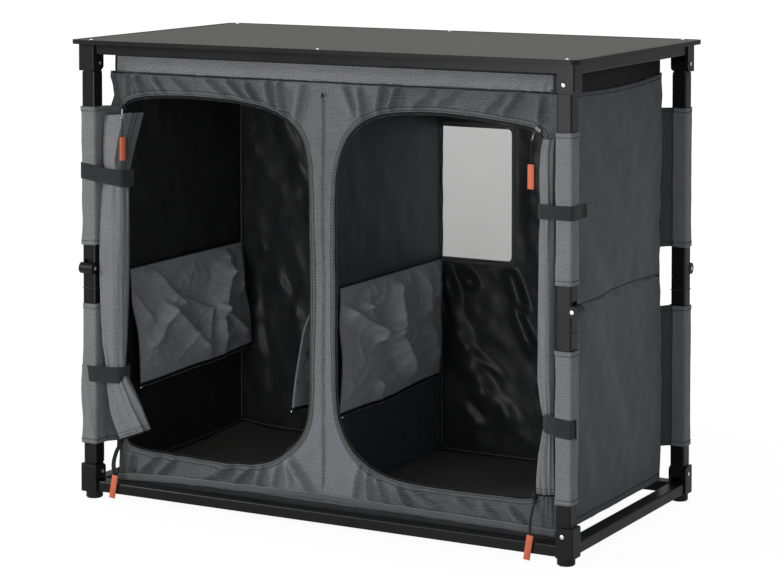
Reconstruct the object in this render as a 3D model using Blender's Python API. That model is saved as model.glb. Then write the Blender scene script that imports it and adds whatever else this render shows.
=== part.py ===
"""Folding camping cupboard: aluminium frame with four kneed legs, table top and a hung cloth body.

Metres, +Z up, origin on the floor under the middle of the cupboard. The front faces -Y.

Each leg is two tubes joined by a knee hinge whose pin lies just outside the leg's outer face. The
four legs are one design turned by quarter turns, so each folds along its own rail: the front-right
leg along the front rail, the rear-right leg along the right rail, and so on round the frame.
Leg frame: x points outwards, away from the fold, y runs along the hinge pins, and the tube's axis
is x = y = 0.
"""
import math

import bmesh
import bpy
from mathutils import Matrix, Vector

# Overall frame, over the outer faces of the leg tubes
FRAME_WIDTH = 0.930
FRAME_DEPTH = 0.494
TABLE_HEIGHT = 0.800

# Clearances
GAP = 0.0003
SLIDE_GAP = 0.0004

# Tubes and rails
TUBE = 0.026
TUBE_WALL = 0.0015
TUBE_CORNER = 0.0025
RAIL_HEIGHT = 0.019
SPIGOT_LENGTH = 0.022

# Corner brackets
CHEEK_PROUD = 0.003
WALL_PROUD = 0.0055
CHEEK_RADIUS = 0.0135
OPEN_EDGE_INSET = 0.0015
BRACKET_ROUND = 0.0025
BRACKET_SHOULDER = 0.004
RIVET_RADIUS = 0.0025
RIVET_HEAD_RADIUS = 0.0052
RIVET_HEAD_HEIGHT = 0.0013
FOOT_RADIUS = 0.0147
FOOT_HEIGHT = 0.0134
FOOT_CHAMFER = 0.0018

# Leg ends, which turn between the bracket's cheeks
EYE_WIDTH = 0.020
EYE_HOLE_GAP = 0.0003
COLLAR_START = 0.0152
COLLAR_LENGTH = 0.0028
COLLAR_GROOVE = 0.0007
FOLDED_RAIL_CLEARANCE = 0.0021

# Knee hinges
KNEE_PIN_OFFSET = 0.002
KNUCKLE_RADIUS = 0.0098
KNUCKLE_PROUD = 0.0008
KNEE_SPLIT = 0.0106
KNEE_REACH = 0.035
TONGUE_HALF_WIDTH = 0.0082
TONGUE_CLEARANCE = 0.0005
NECK_INNER = 0.0088
NOTCH_RISE = 0.0155
NOTCH_DEPTH = 0.0050

# Table top
BOARD_THICKNESS = 0.0048
EDGING_OVERHANG = 0.0150
EDGING_WALL = 0.0017
EDGING_LIP = 0.0010
EDGING_LIP_WIDTH = 0.0085
BOARD_RECESS = 0.0005
BOARD_CORNER = 0.012

# Cloth body
CLOTH = 0.0015
BODY_INSET = 0.013
BODY_BOTTOM = 0.0360
BAND_HEIGHT = 0.0300
BAND_LAP = 0.0090
FLOOR_THICKNESS = 0.0045
FLOOR_TOP = 0.0460
DOOR_POST_WIDTH = 0.047
DOOR_HINGE_STRIP = 0.018
DOOR_TOP = 0.703
DOOR_BOTTOM = 0.087
DOOR_TOP_ROUND = 0.125
DOOR_BOTTOM_ROUND = 0.115
DOOR_HINGE_TOP_ROUND = 0.060
DOOR_HINGE_BOTTOM_ROUND = 0.020
WINDOW_WIDTH = 0.286
WINDOW_HEIGHT = 0.240
WINDOW_BOTTOM = 0.394
WINDOW_CORNER = 0.008
WINDOW_FRAME = 0.010

# Half shelves, sewn at mid height and joined by a zip at mid width
SHELF_SEAM_HEIGHT = 0.393
SHELF_FRONT_SETBACK = 0.042
SHELF_BACK_GAP = 0.003
SHELF_ZIP_GAP = 0.001
SHELF_SEAM_DROP = 0.001
SHELF_CLOTH = 0.0016
SHELF_FRONT_TUCK = 0.034
SHELF_BELLY = 0.011
SHELF_FOLD = 0.0045

# Rolled doors
ROLL_HALF_WIDTH = 0.0245
ROLL_HALF_DEPTH = 0.0185
ROLL_STEP = 0.0035
ROLL_TOP = 0.670
ROLL_BOTTOM = 0.108
UPPER_STRAP = 0.565
LOWER_STRAP = 0.220
LEFT_ROLL_LEAN = 0.030
LEFT_ROLL_SLOPE = 0.60
RIGHT_ROLL_LEAN = 0.008
RIGHT_ROLL_SLOPE = 0.10

# Zip pulls
TAB_LENGTH = 0.041
TAB_WIDTH = 0.0115
TAB_THICKNESS = 0.004
CORD_RADIUS = 0.0012
SLIDER_MARGIN = 0.0028
TOP_LEFT_DROP = 0.045
TOP_RIGHT_DROP = 0.057
BOTTOM_LEFT_DROP = 0.046
BOTTOM_RIGHT_DROP = 0.040

# Cloth sleeves round the legs, measured from the hinge pins
SLEEVE = 0.0009
SLEEVE_GAP = 0.0003
SLEEVE_FROM_BRACKET = 0.0755
SLEEVE_FROM_KNEE = 0.0405
SLEEVE_LOWER_FROM_BRACKET = 0.0500
SLEEVE_LOWER_FROM_KNEE = 0.0625

# Worked out from the sizes above
HALF_TUBE = TUBE / 2
HALF_WIDTH = FRAME_WIDTH / 2
HALF_DEPTH = FRAME_DEPTH / 2
RAIL_BOTTOM = FOOT_HEIGHT
RAIL_TOP = RAIL_BOTTOM + RAIL_HEIGHT
LOWER_PIN = RAIL_TOP + FOLDED_RAIL_CLEARANCE + HALF_TUBE
BOARD_EDGE_TOP = TABLE_HEIGHT - EDGING_LIP - GAP
BOARD_TOP = TABLE_HEIGHT - BOARD_RECESS
BOARD_BOTTOM = BOARD_EDGE_TOP - BOARD_THICKNESS
TOP_RAIL_TOP = BOARD_BOTTOM - GAP
TOP_RAIL_BOTTOM = TOP_RAIL_TOP - RAIL_HEIGHT
UPPER_PIN = TOP_RAIL_BOTTOM - FOLDED_RAIL_CLEARANCE - HALF_TUBE
KNEE_HEIGHT = (LOWER_PIN + UPPER_PIN) / 2
KNEE_PIN_X = HALF_TUBE + KNEE_PIN_OFFSET
SPIGOT_INSET = TUBE_WALL + GAP
BRACKET_INNER_X = -HALF_TUBE + OPEN_EDGE_INSET
BRACKET_OUTER_X = HALF_TUBE + WALL_PROUD
BRACKET_SIDE_Y = HALF_TUBE + CHEEK_PROUD
BODY_HALF_WIDTH = HALF_WIDTH - TUBE - BODY_INSET
BODY_HALF_DEPTH = HALF_DEPTH - TUBE - BODY_INSET
BODY_TOP = TOP_RAIL_BOTTOM - BAND_HEIGHT
ROOM_HALF_WIDTH = BODY_HALF_WIDTH - CLOTH
ROOM_HALF_DEPTH = BODY_HALF_DEPTH - CLOTH

# Corner of the frame: place of the leg's axis and the turn of the leg frame
CORNERS = {
    "fr": (HALF_WIDTH - HALF_TUBE, -HALF_DEPTH + HALF_TUBE, 0.0),
    "rr": (HALF_WIDTH - HALF_TUBE, HALF_DEPTH - HALF_TUBE, math.pi / 2),
    "rl": (-HALF_WIDTH + HALF_TUBE, HALF_DEPTH - HALF_TUBE, math.pi),
    "fl": (-HALF_WIDTH + HALF_TUBE, -HALF_DEPTH + HALF_TUBE, -math.pi / 2),
}

# Finish: colour, roughness, metallic
FINISHES = {
    "satin_black_tube": ((0.022, 0.022, 0.023), 0.42, 0.55),
    "black_moulding": ((0.018, 0.018, 0.019), 0.50, 0.0),
    "coated_board": ((0.145, 0.145, 0.143), 0.62, 0.0),
    "dark_edging": ((0.055, 0.055, 0.056), 0.45, 0.3),
    "grey_cloth": ((0.125, 0.128, 0.135), 0.85, 0.0),
    "dark_cloth": ((0.052, 0.054, 0.058), 0.85, 0.0),
    "black_lining": ((0.012, 0.012, 0.013), 0.45, 0.0),
    "window_mesh": ((0.45, 0.45, 0.44), 0.6, 0.0),
    "orange_tab": ((0.72, 0.19, 0.09), 0.55, 0.0),
}


def clear_scene():
    for item in list(bpy.data.objects):
        bpy.data.objects.remove(item, do_unlink=True)


# Mesh helpers

def to_axes(axis, u, v, w):
    """Point with outline coordinates u, v and height w along the named axis."""
    if axis == "x":
        return Vector((w, u, v))
    if axis == "y":
        return Vector((u, w, v))
    return Vector((u, v, w))


def arc(centre_u, centre_v, radius, start_deg, end_deg, steps):
    points = []
    for i in range(steps + 1):
        angle = math.radians(start_deg + (end_deg - start_deg) * i / steps)
        points.append((centre_u + radius * math.cos(angle), centre_v + radius * math.sin(angle)))
    return points


def rounded_rectangle(low, high, radius, steps=3):
    """Outline of a rectangle with round corners; radius may be one value or one for each corner.

    The corners go low-low, high-low, high-high, low-high.
    """
    radii = radius if isinstance(radius, tuple) else (radius,) * 4
    spots = [
        (low[0], low[1], 1, 1, 180),
        (high[0], low[1], -1, 1, 270),
        (high[0], high[1], -1, -1, 0),
        (low[0], high[1], 1, -1, 90),
    ]
    points = []
    for (u, v, side_u, side_v, start), size in zip(spots, radii):
        if size == 0:
            points.append((u, v))
            continue
        points += arc(u + side_u * size, v + side_v * size, size, start, start + 90, steps)
    return points


def square_outline(half_u, half_v, corner=0.0, steps=2):
    return rounded_rectangle((-half_u, -half_v), (half_u, half_v), corner, steps)


def shape_from(bm, name="shape"):
    bmesh.ops.recalc_face_normals(bm, faces=bm.faces)
    mesh = bpy.data.meshes.new(name)
    bm.to_mesh(mesh)
    bm.free()
    item = bpy.data.objects.new(name, mesh)
    bpy.context.scene.collection.objects.link(item)
    return item


def prism(outline, low, high, axis="z"):
    bm = bmesh.new()
    base = [bm.verts.new(to_axes(axis, u, v, low)) for u, v in outline]
    face = bm.faces.new(base)
    raised = bmesh.ops.extrude_face_region(bm, geom=[face])["geom"]
    moved = [item for item in raised if isinstance(item, bmesh.types.BMVert)]
    bmesh.ops.translate(bm, verts=moved, vec=to_axes(axis, 0, 0, high - low))
    return shape_from(bm)


def block(low, high):
    return prism([(low[0], low[1]), (high[0], low[1]), (high[0], high[1]), (low[0], high[1])], low[2], high[2])


def rod(radius, centre_u, centre_v, low, high, axis="y", sides=20):
    return prism(arc(centre_u, centre_v, radius, 0, 360 - 360 / sides, sides - 1), low, high, axis)


def combine(target, tool, operation):
    """Boolean of two closed shapes, made real on the target; the tool is used up."""
    step = target.modifiers.new(operation.lower(), "BOOLEAN")
    step.operation = operation
    step.solver = "EXACT"
    step.object = tool
    graph = bpy.context.evaluated_depsgraph_get()
    mesh = bpy.data.meshes.new_from_object(target.evaluated_get(graph))
    target.modifiers.clear()
    target.data = mesh
    bpy.data.objects.remove(tool, do_unlink=True)
    return target


def add(target, *tools):
    for tool in tools:
        combine(target, tool, "UNION")
    return target


def cut(target, *tools):
    for tool in tools:
        combine(target, tool, "DIFFERENCE")
    return target


def common(target, tool):
    return combine(target, tool, "INTERSECT")


def take_mesh(item):
    """Mesh of a finished shape, with its scratch object removed."""
    mesh = item.data
    bpy.data.objects.remove(item, do_unlink=True)
    return mesh


def shade_round(mesh, limit_deg=35):
    mesh.shade_smooth()
    mesh.set_sharp_from_angle(angle=math.radians(limit_deg))


def finish_material(name, finish):
    colour, roughness, metallic = FINISHES[finish]
    material = bpy.data.materials.new(name)
    material.use_nodes = True
    shader = material.node_tree.nodes["Principled BSDF"]
    shader.inputs["Base Color"].default_value = (*colour, 1.0)
    shader.inputs["Roughness"].default_value = roughness
    shader.inputs["Metallic"].default_value = metallic
    material.diffuse_color = (*colour, 1.0)
    return material


def node(name, mesh, finish, parent=None, place=None):
    """Named piece of the cupboard, placed in its parent's frame."""
    mesh = mesh.copy()
    mesh.name = name
    shade_round(mesh)
    mesh.materials.clear()
    mesh.materials.append(finish_material(name, finish))
    item = bpy.data.objects.new(name, mesh)
    bpy.context.scene.collection.objects.link(item)
    if parent is not None:
        item.parent = parent
    if place is not None:
        item.matrix_local = place
    return item


def empty(name, place, parent=None):
    item = bpy.data.objects.new(name, None)
    item.empty_display_size = 0.03
    bpy.context.scene.collection.objects.link(item)
    if parent is not None:
        item.parent = parent
    item.matrix_local = place
    return item


def corner_frame(corner):
    x, y, turn = CORNERS[corner]
    return Matrix.Translation((x, y, 0)) @ Matrix.Rotation(turn, 4, "Z")


# Frame pieces, in the leg frame

def rivet_head(side):
    """Domed head on a cheek's outer face, as a short turned profile along y."""
    face = side * BRACKET_SIDE_Y
    return dome_along_y(RIVET_HEAD_RADIUS, face - side * 2 * GAP, face + side * RIVET_HEAD_HEIGHT)


def dome_along_y(radius, start, end, centre=(0.0, 0.0), sides=16):
    bm = bmesh.new()
    rise = end - start
    profile = [(0.0, start), (radius, start), (radius, start + rise * 0.35), (radius * 0.72, start + rise * 0.8)]
    profile.append((0.0, end))
    for turn in range(sides):
        angle = 2 * math.pi * turn / sides
        for distance, along in profile[1:4]:
            x = centre[0] + distance * math.cos(angle)
            z = centre[1] + distance * math.sin(angle)
            bm.verts.new((x, along, z))
    bm.verts.ensure_lookup_table()
    foot = bm.verts.new((centre[0], start, centre[1]))
    crown = bm.verts.new((centre[0], end, centre[1]))
    bm.verts.ensure_lookup_table()
    for turn in range(sides):
        here = 3 * turn
        there = 3 * ((turn + 1) % sides)
        bm.faces.new((foot, bm.verts[here], bm.verts[there]))
        for ring in range(2):
            bm.faces.new((
                bm.verts[here + ring], bm.verts[here + ring + 1], bm.verts[there + ring + 1], bm.verts[there + ring]
            ))
        bm.faces.new((bm.verts[here + 2], crown, bm.verts[there + 2]))
    return shape_from(bm)


def cheek_profile(base, pin_height, up):
    """Side view of a bracket: square block at the rails, round lobe about the leg's pin.

    up is 1 for the bottom bracket, whose lobe points up, and -1 for the top bracket.
    """
    lobe_meet = math.degrees(math.asin(BRACKET_INNER_X / CHEEK_RADIUS))
    lobe = []
    steps = 6
    for i in range(steps + 1):
        angle = math.radians(lobe_meet * (1 - i / steps))
        lobe.append((CHEEK_RADIUS * math.sin(angle), pin_height + up * CHEEK_RADIUS * math.cos(angle)))
    corner_u = BRACKET_OUTER_X - BRACKET_SHOULDER
    corner_v = pin_height + up * (CHEEK_RADIUS - BRACKET_SHOULDER)
    outer = []
    for i in range(4):
        angle = math.radians(90 - 30 * i)
        across = BRACKET_SHOULDER * math.cos(angle)
        outer.append((corner_u + across, corner_v + up * BRACKET_SHOULDER * math.sin(angle)))
    return [(BRACKET_INNER_X, base)] + lobe + outer + [(BRACKET_OUTER_X, base)]


def bracket_body(base, pin_height, up):
    """Moulded corner: block, two cheeks and an outer wall round the leg's end."""
    body = prism(cheek_profile(base, pin_height, up), -BRACKET_SIDE_Y, BRACKET_SIDE_Y, "y")
    plan = rounded_rectangle(
        (BRACKET_INNER_X - GAP, -BRACKET_SIDE_Y),
        (BRACKET_OUTER_X, BRACKET_SIDE_Y),
        (0.0, BRACKET_ROUND, BRACKET_ROUND, 0.0),
    )
    reach = CHEEK_RADIUS + HALF_TUBE
    common(body, prism(plan, min(base, pin_height) - reach, max(base, pin_height) + reach))
    floor = pin_height - up * (HALF_TUBE + SLIDE_GAP)
    far = pin_height + up * reach
    half_slot = EYE_WIDTH / 2 + GAP
    cut(body, block(
        (BRACKET_INNER_X - reach, -half_slot, min(floor, far)),
        (HALF_TUBE + SLIDE_GAP, half_slot, max(floor, far)),
    ))
    return body


def rail_spigots(body, base, up):
    """Plugs for the rail on the folding side and for the rail across it."""
    half_width = HALF_TUBE - SPIGOT_INSET
    low = min(base, base + up * RAIL_HEIGHT) + SPIGOT_INSET
    high = max(base, base + up * RAIL_HEIGHT) - SPIGOT_INSET
    corner = TUBE_CORNER - SPIGOT_INSET / 2
    outline = rounded_rectangle((-half_width, low), (half_width, high), corner, 2)
    root = 0.002
    add(body, prism(outline, BRACKET_INNER_X - SPIGOT_LENGTH, BRACKET_INNER_X + root, "x"))
    add(body, prism(outline, BRACKET_SIDE_Y - root, BRACKET_SIDE_Y + SPIGOT_LENGTH, "y"))
    return body


def bracket_rivet(body, pin_height):
    pin = rod(RIVET_RADIUS, 0, pin_height, -BRACKET_SIDE_Y + GAP, BRACKET_SIDE_Y - GAP)
    add(body, pin)
    for side in (-1, 1):
        head = rivet_head(side)
        head.data.transform(Matrix.Translation((0, 0, pin_height)))
        add(body, head)
    return body


def foot_shape():
    outline = [
        (0.0, RAIL_BOTTOM - GAP),
        (FOOT_RADIUS, RAIL_BOTTOM - GAP),
        (FOOT_RADIUS, FOOT_CHAMFER),
        (FOOT_RADIUS - FOOT_CHAMFER, 0.0),
        (0.0, 0.0),
    ]
    bm = bmesh.new()
    points = [bm.verts.new((radius, 0, height)) for radius, height in outline]
    edges = [bm.edges.new((points[i], points[i + 1])) for i in range(len(points) - 1)]
    bmesh.ops.spin(bm, geom=points + edges, cent=(0, 0, 0), axis=(0, 0, 1), angle=2 * math.pi, steps=24,
                   use_merge=True)
    bmesh.ops.remove_doubles(bm, verts=bm.verts, dist=0.00001)
    return shape_from(bm)


def bottom_bracket_mesh():
    body = bracket_body(RAIL_BOTTOM - 2 * GAP, LOWER_PIN, 1)
    rail_spigots(body, RAIL_BOTTOM, 1)
    add(body, foot_shape())
    bracket_rivet(body, LOWER_PIN)
    return take_mesh(body)


def top_bracket_mesh():
    body = bracket_body(TOP_RAIL_TOP, UPPER_PIN, -1)
    rail_spigots(body, TOP_RAIL_TOP, -1)
    bracket_rivet(body, UPPER_PIN)
    return take_mesh(body)


def leg_mesh(pin_height, up):
    """Square tube, open at the knee, with a moulded eye that turns on the bracket's rivet."""
    knee_end = KNEE_HEIGHT - up * (KNEE_REACH + GAP)
    collar = pin_height + up * COLLAR_START
    tube_start = collar + up * COLLAR_LENGTH
    low, high = sorted((collar, knee_end))
    body = prism(square_outline(HALF_TUBE, HALF_TUBE, TUBE_CORNER), low, high)
    bore = HALF_TUBE - TUBE_WALL
    floor = tube_start + up * COLLAR_LENGTH
    low, high = sorted((floor, knee_end + up * TUBE))
    cut(body, prism(square_outline(bore, bore, TUBE_CORNER - TUBE_WALL), low, high))
    low, high = sorted((tube_start, tube_start + up * COLLAR_GROOVE))
    ring = prism(square_outline(TUBE, TUBE), low, high)
    core = HALF_TUBE - COLLAR_GROOVE
    cut(ring, prism(square_outline(core, core, TUBE_CORNER), low - TUBE, high + TUBE))
    cut(body, ring)
    round_end = [(-HALF_TUBE, collar + up * GAP)]
    for i in range(13):
        angle = math.radians(180 - 15 * i)
        round_end.append((HALF_TUBE * math.cos(angle), pin_height - up * HALF_TUBE * math.sin(angle)))
    round_end.append((HALF_TUBE, collar + up * GAP))
    eye = prism(round_end, -EYE_WIDTH / 2, EYE_WIDTH / 2, "y")
    cut(eye, rod(RIVET_RADIUS + EYE_HOLE_GAP, 0, pin_height, -TUBE, TUBE))
    add(body, eye)
    return take_mesh(body)


def knee_block(side):
    """Square moulding that closes the tube's knee end, with its plug in the tube."""
    split = KNEE_HEIGHT - KNEE_SPLIT
    if side > 0:
        low, high = split, KNEE_HEIGHT + KNEE_REACH
        plug_low, plug_high = high - GAP, high + SPIGOT_LENGTH
    else:
        low, high = KNEE_HEIGHT - KNEE_REACH, split - GAP
        plug_low, plug_high = low - SPIGOT_LENGTH, low + GAP
    body = prism(square_outline(HALF_TUBE, HALF_TUBE, TUBE_CORNER), low, high)
    plug = HALF_TUBE - SPIGOT_INSET
    add(body, prism(square_outline(plug, plug, TUBE_CORNER - TUBE_WALL), plug_low, plug_high))
    return body


def knee_slot_outline():
    """Side view of the slot for the tongue: round about the pin, open outwards and below, notched above."""
    radius = KNUCKLE_RADIUS + TONGUE_CLEARANCE
    reach = KNUCKLE_RADIUS + KNEE_PIN_OFFSET
    notch = -KNEE_PIN_OFFSET - NOTCH_DEPTH
    meet = math.degrees(math.acos(notch / radius))
    outline = [(-radius, -reach), (reach, -reach), (reach, NOTCH_RISE), (notch, NOTCH_RISE)]
    outline += arc(0, 0, radius, meet, 180, 5)
    return [(KNEE_PIN_X + u, KNEE_HEIGHT + v) for u, v in outline]


def knee_upper_mesh():
    """Upper half of the knee: knuckle with two cheeks, slotted for the lower half's tongue."""
    body = knee_block(1)
    half_length = HALF_TUBE + KNUCKLE_PROUD
    add(body, rod(KNUCKLE_RADIUS, KNEE_PIN_X, KNEE_HEIGHT, -half_length, half_length, sides=32))
    half_slot = TONGUE_HALF_WIDTH + GAP
    cut(body, prism(knee_slot_outline(), -half_slot, half_slot, "y"))
    add(body, rod(RIVET_RADIUS, KNEE_PIN_X, KNEE_HEIGHT, -half_length + GAP, half_length - GAP))
    for side in (-1, 1):
        face = side * half_length
        start = face - side * 2 * GAP
        end = face + side * RIVET_HEAD_HEIGHT
        add(body, dome_along_y(RIVET_HEAD_RADIUS, start, end, (KNEE_PIN_X, KNEE_HEIGHT)))
    return take_mesh(body)


def knee_lower_mesh():
    """Lower half of the knee: block with a tongue whose eye turns on the knee pin."""
    body = knee_block(-1)
    tongue = rod(KNUCKLE_RADIUS, KNEE_PIN_X, KNEE_HEIGHT, -TONGUE_HALF_WIDTH, TONGUE_HALF_WIDTH, sides=32)
    root = KNEE_HEIGHT - KNEE_SPLIT - 2 * TONGUE_CLEARANCE
    add(tongue, block(
        (KNEE_PIN_X - NECK_INNER, -TONGUE_HALF_WIDTH, root),
        (HALF_TUBE, TONGUE_HALF_WIDTH, KNEE_HEIGHT),
    ))
    cut(tongue, rod(RIVET_RADIUS + EYE_HOLE_GAP, KNEE_PIN_X, KNEE_HEIGHT, -TUBE, TUBE))
    add(body, tongue)
    return take_mesh(body)


def rail_mesh(length):
    """Hollow rail along x, open at both ends, with its bottom at z = 0."""
    outline = rounded_rectangle((-HALF_TUBE, 0), (HALF_TUBE, RAIL_HEIGHT), TUBE_CORNER, 2)
    body = prism(outline, -length / 2, length / 2, "x")
    inner = rounded_rectangle(
        (-HALF_TUBE + TUBE_WALL, TUBE_WALL),
        (HALF_TUBE - TUBE_WALL, RAIL_HEIGHT - TUBE_WALL),
        TUBE_CORNER - TUBE_WALL,
        2,
    )
    cut(body, prism(inner, -length, length, "x"))
    return take_mesh(body)


def rail_runs():
    """Name, middle, turn and length of each rail, from one bracket's side to the next one's mouth."""
    runs = []
    side_face = TUBE + CHEEK_PROUD + GAP
    mouth_face = TUBE - OPEN_EDGE_INSET + GAP
    shift = (side_face - mouth_face) / 2
    for name, span, across, turn in (
        ("front", FRAME_WIDTH, -HALF_DEPTH + HALF_TUBE, 0.0),
        ("right", FRAME_DEPTH, HALF_WIDTH - HALF_TUBE, math.pi / 2),
        ("back", FRAME_WIDTH, HALF_DEPTH - HALF_TUBE, math.pi),
        ("left", FRAME_DEPTH, -HALF_WIDTH + HALF_TUBE, -math.pi / 2),
    ):
        length = span - side_face - mouth_face
        spin = Matrix.Rotation(turn, 4, "Z")
        middle = spin @ Vector((shift, 0, 0))
        if name in ("front", "back"):
            middle.y = across
        else:
            middle.x = across
        runs.append((name, middle, turn, length))
    return runs


# Table top

def table_outline(inset, steps=6):
    half_x = HALF_WIDTH + EDGING_OVERHANG - inset
    half_y = HALF_DEPTH + EDGING_OVERHANG - inset
    corner = BOARD_CORNER + EDGING_WALL + GAP - inset
    return square_outline(half_x, half_y, max(corner, 0.004), steps)


def table_board_mesh():
    """Board whose edge is stepped down under the edging's lip."""
    body = prism(table_outline(EDGING_WALL + GAP), BOARD_BOTTOM, BOARD_EDGE_TOP)
    add(body, prism(table_outline(EDGING_LIP_WIDTH + GAP), BOARD_EDGE_TOP - GAP, BOARD_TOP))
    return take_mesh(body)


def table_edging_mesh():
    """C-shaped edging that grips the board all round."""
    low = BOARD_BOTTOM - GAP - EDGING_LIP
    body = prism(table_outline(0.0), low, TABLE_HEIGHT)
    cut(body, prism(table_outline(EDGING_WALL), BOARD_BOTTOM - GAP, BOARD_EDGE_TOP + GAP))
    cut(body, prism(table_outline(EDGING_LIP_WIDTH), low - TUBE, TABLE_HEIGHT + TUBE))
    return take_mesh(body)


# Cloth body

def sheet_mesh(outline, low, high, axis, *holes):
    body = prism(outline, low, high, axis)
    for hole in holes:
        cut(body, prism(hole, low - TUBE, high + TUBE, axis))
    return take_mesh(body)


def door_outline(side):
    """D-shaped door opening: round towards the middle post, nearly square at the door's hinge side."""
    inner = DOOR_POST_WIDTH / 2
    outer = BODY_HALF_WIDTH - DOOR_HINGE_STRIP
    rounds = (DOOR_BOTTOM_ROUND, DOOR_HINGE_BOTTOM_ROUND, DOOR_HINGE_TOP_ROUND, DOOR_TOP_ROUND)
    outline = rounded_rectangle((inner, DOOR_BOTTOM), (outer, DOOR_TOP), rounds, 8)
    return [(side * u, v) for u, v in outline]


def window_outline(grow=0.0):
    half = WINDOW_WIDTH / 2 + grow
    low = (-half, WINDOW_BOTTOM - grow)
    high = (half, WINDOW_BOTTOM + WINDOW_HEIGHT + grow)
    return rounded_rectangle(low, high, WINDOW_CORNER + grow, 3)


def front_panel_mesh():
    outline = [
        (-BODY_HALF_WIDTH, BODY_BOTTOM), (BODY_HALF_WIDTH, BODY_BOTTOM),
        (BODY_HALF_WIDTH, BODY_TOP), (-BODY_HALF_WIDTH, BODY_TOP),
    ]
    return sheet_mesh(outline, -BODY_HALF_DEPTH, -ROOM_HALF_DEPTH, "y", door_outline(-1), door_outline(1))


def back_wall_mesh():
    outline = [
        (-BODY_HALF_WIDTH, BODY_BOTTOM), (BODY_HALF_WIDTH, BODY_BOTTOM),
        (BODY_HALF_WIDTH, BODY_TOP), (-BODY_HALF_WIDTH, BODY_TOP),
    ]
    return sheet_mesh(outline, ROOM_HALF_DEPTH, BODY_HALF_DEPTH, "y", window_outline())


def window_mesh():
    """Window net with its bound edge, lying against the inside of the back wall."""
    outer = ROOM_HALF_DEPTH - GAP
    body = prism(window_outline(WINDOW_FRAME), outer - CLOTH, outer, "y")
    return take_mesh(body)


def side_wall_mesh(side):
    half = ROOM_HALF_DEPTH - GAP
    outline = [(-half, BODY_BOTTOM), (half, BODY_BOTTOM), (half, BODY_TOP), (-half, BODY_TOP)]
    faces = sorted((side * ROOM_HALF_WIDTH, side * BODY_HALF_WIDTH))
    return sheet_mesh(outline, faces[0], faces[1], "x")


def partition_mesh():
    back = ROOM_HALF_DEPTH - CLOTH - 2 * GAP
    front = ROOM_HALF_DEPTH - GAP
    low = FLOOR_TOP + GAP
    high = BODY_TOP - BAND_LAP - GAP
    outline = [(-front, low), (back, low), (back, high), (-front, high)]
    return sheet_mesh(outline, -CLOTH / 2, CLOTH / 2, "x")


def floor_mesh():
    half_x = ROOM_HALF_WIDTH - GAP
    half_y = ROOM_HALF_DEPTH - GAP
    return take_mesh(prism(square_outline(half_x, half_y), FLOOR_TOP - FLOOR_THICKNESS, FLOOR_TOP))


def top_band_mesh():
    """Cloth band that hangs from the top rails and laps inside the walls' top hem."""
    half_x = ROOM_HALF_WIDTH - GAP
    half_y = ROOM_HALF_DEPTH - GAP
    low = BODY_TOP - BAND_LAP
    high = TOP_RAIL_BOTTOM - GAP
    body = prism(square_outline(half_x, half_y), low, high)
    cut(body, prism(square_outline(half_x - CLOTH, half_y - CLOTH), low - TUBE, high + TUBE))
    return take_mesh(body)


def shelf_fall():
    """Length of a half shelf from its seam to its zip, so that two of them span a compartment."""
    span = ROOM_HALF_WIDTH - CLOTH / 2
    return (span - SHELF_ZIP_GAP) / 2


def half_shelf_mesh(side):
    """Half shelf hanging from its seam, in the frame of its hinge: y along the seam, -z down.

    side is +1 where the cloth hangs on the +x side of the wall that carries it.
    """
    columns = 14
    rows = 9
    front = -ROOM_HALF_DEPTH + SHELF_FRONT_SETBACK
    back = ROOM_HALF_DEPTH - CLOTH - SHELF_BACK_GAP
    fall = shelf_fall()
    bm = bmesh.new()
    bmesh.ops.create_grid(bm, x_segments=columns, y_segments=rows, size=0.5)
    for vert in bm.verts:
        along = vert.co.x + 0.5
        down = vert.co.y + 0.5
        tuck = SHELF_FRONT_TUCK * down * (1 - along) ** 2
        belly = SHELF_BELLY * math.sin(math.pi * down) * (1 + 0.4 * math.sin(5.2 * along))
        folds = SHELF_FOLD * down * (1 + math.sin(2 * math.pi * (2.3 * along + 0.7 * down)))
        away = GAP + belly + folds
        height = -SHELF_SEAM_DROP - (fall - SHELF_SEAM_DROP) * down
        vert.co = (away, front + tuck + (back - front - tuck) * along, height)
    bmesh.ops.recalc_face_normals(bm, faces=bm.faces)
    bmesh.ops.solidify(bm, geom=bm.faces[:], thickness=SHELF_CLOTH)
    bmesh.ops.scale(bm, vec=(side, 1, 1), verts=bm.verts)
    return take_mesh(shape_from(bm))


def ramp(value, start, end):
    """Smooth step from 0 at start to 1 at end."""
    part = min(1.0, max(0.0, (value - start) / (end - start)))
    return part * part * (3 - 2 * part)


def roll_ring(centre, half_width, half_depth, slope, sides):
    """Cross-section of rolled cloth: a spiral that steps in where the cloth's edge lies."""
    points = []
    for i in range(sides):
        part = i / sides
        angle = 2 * math.pi * part - 0.9
        shrink = ROLL_STEP * part
        across = (half_width - shrink) * math.cos(angle)
        points.append(centre + Vector((across, (half_depth - shrink) * math.sin(angle), -slope * across)))
    return points


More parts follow.
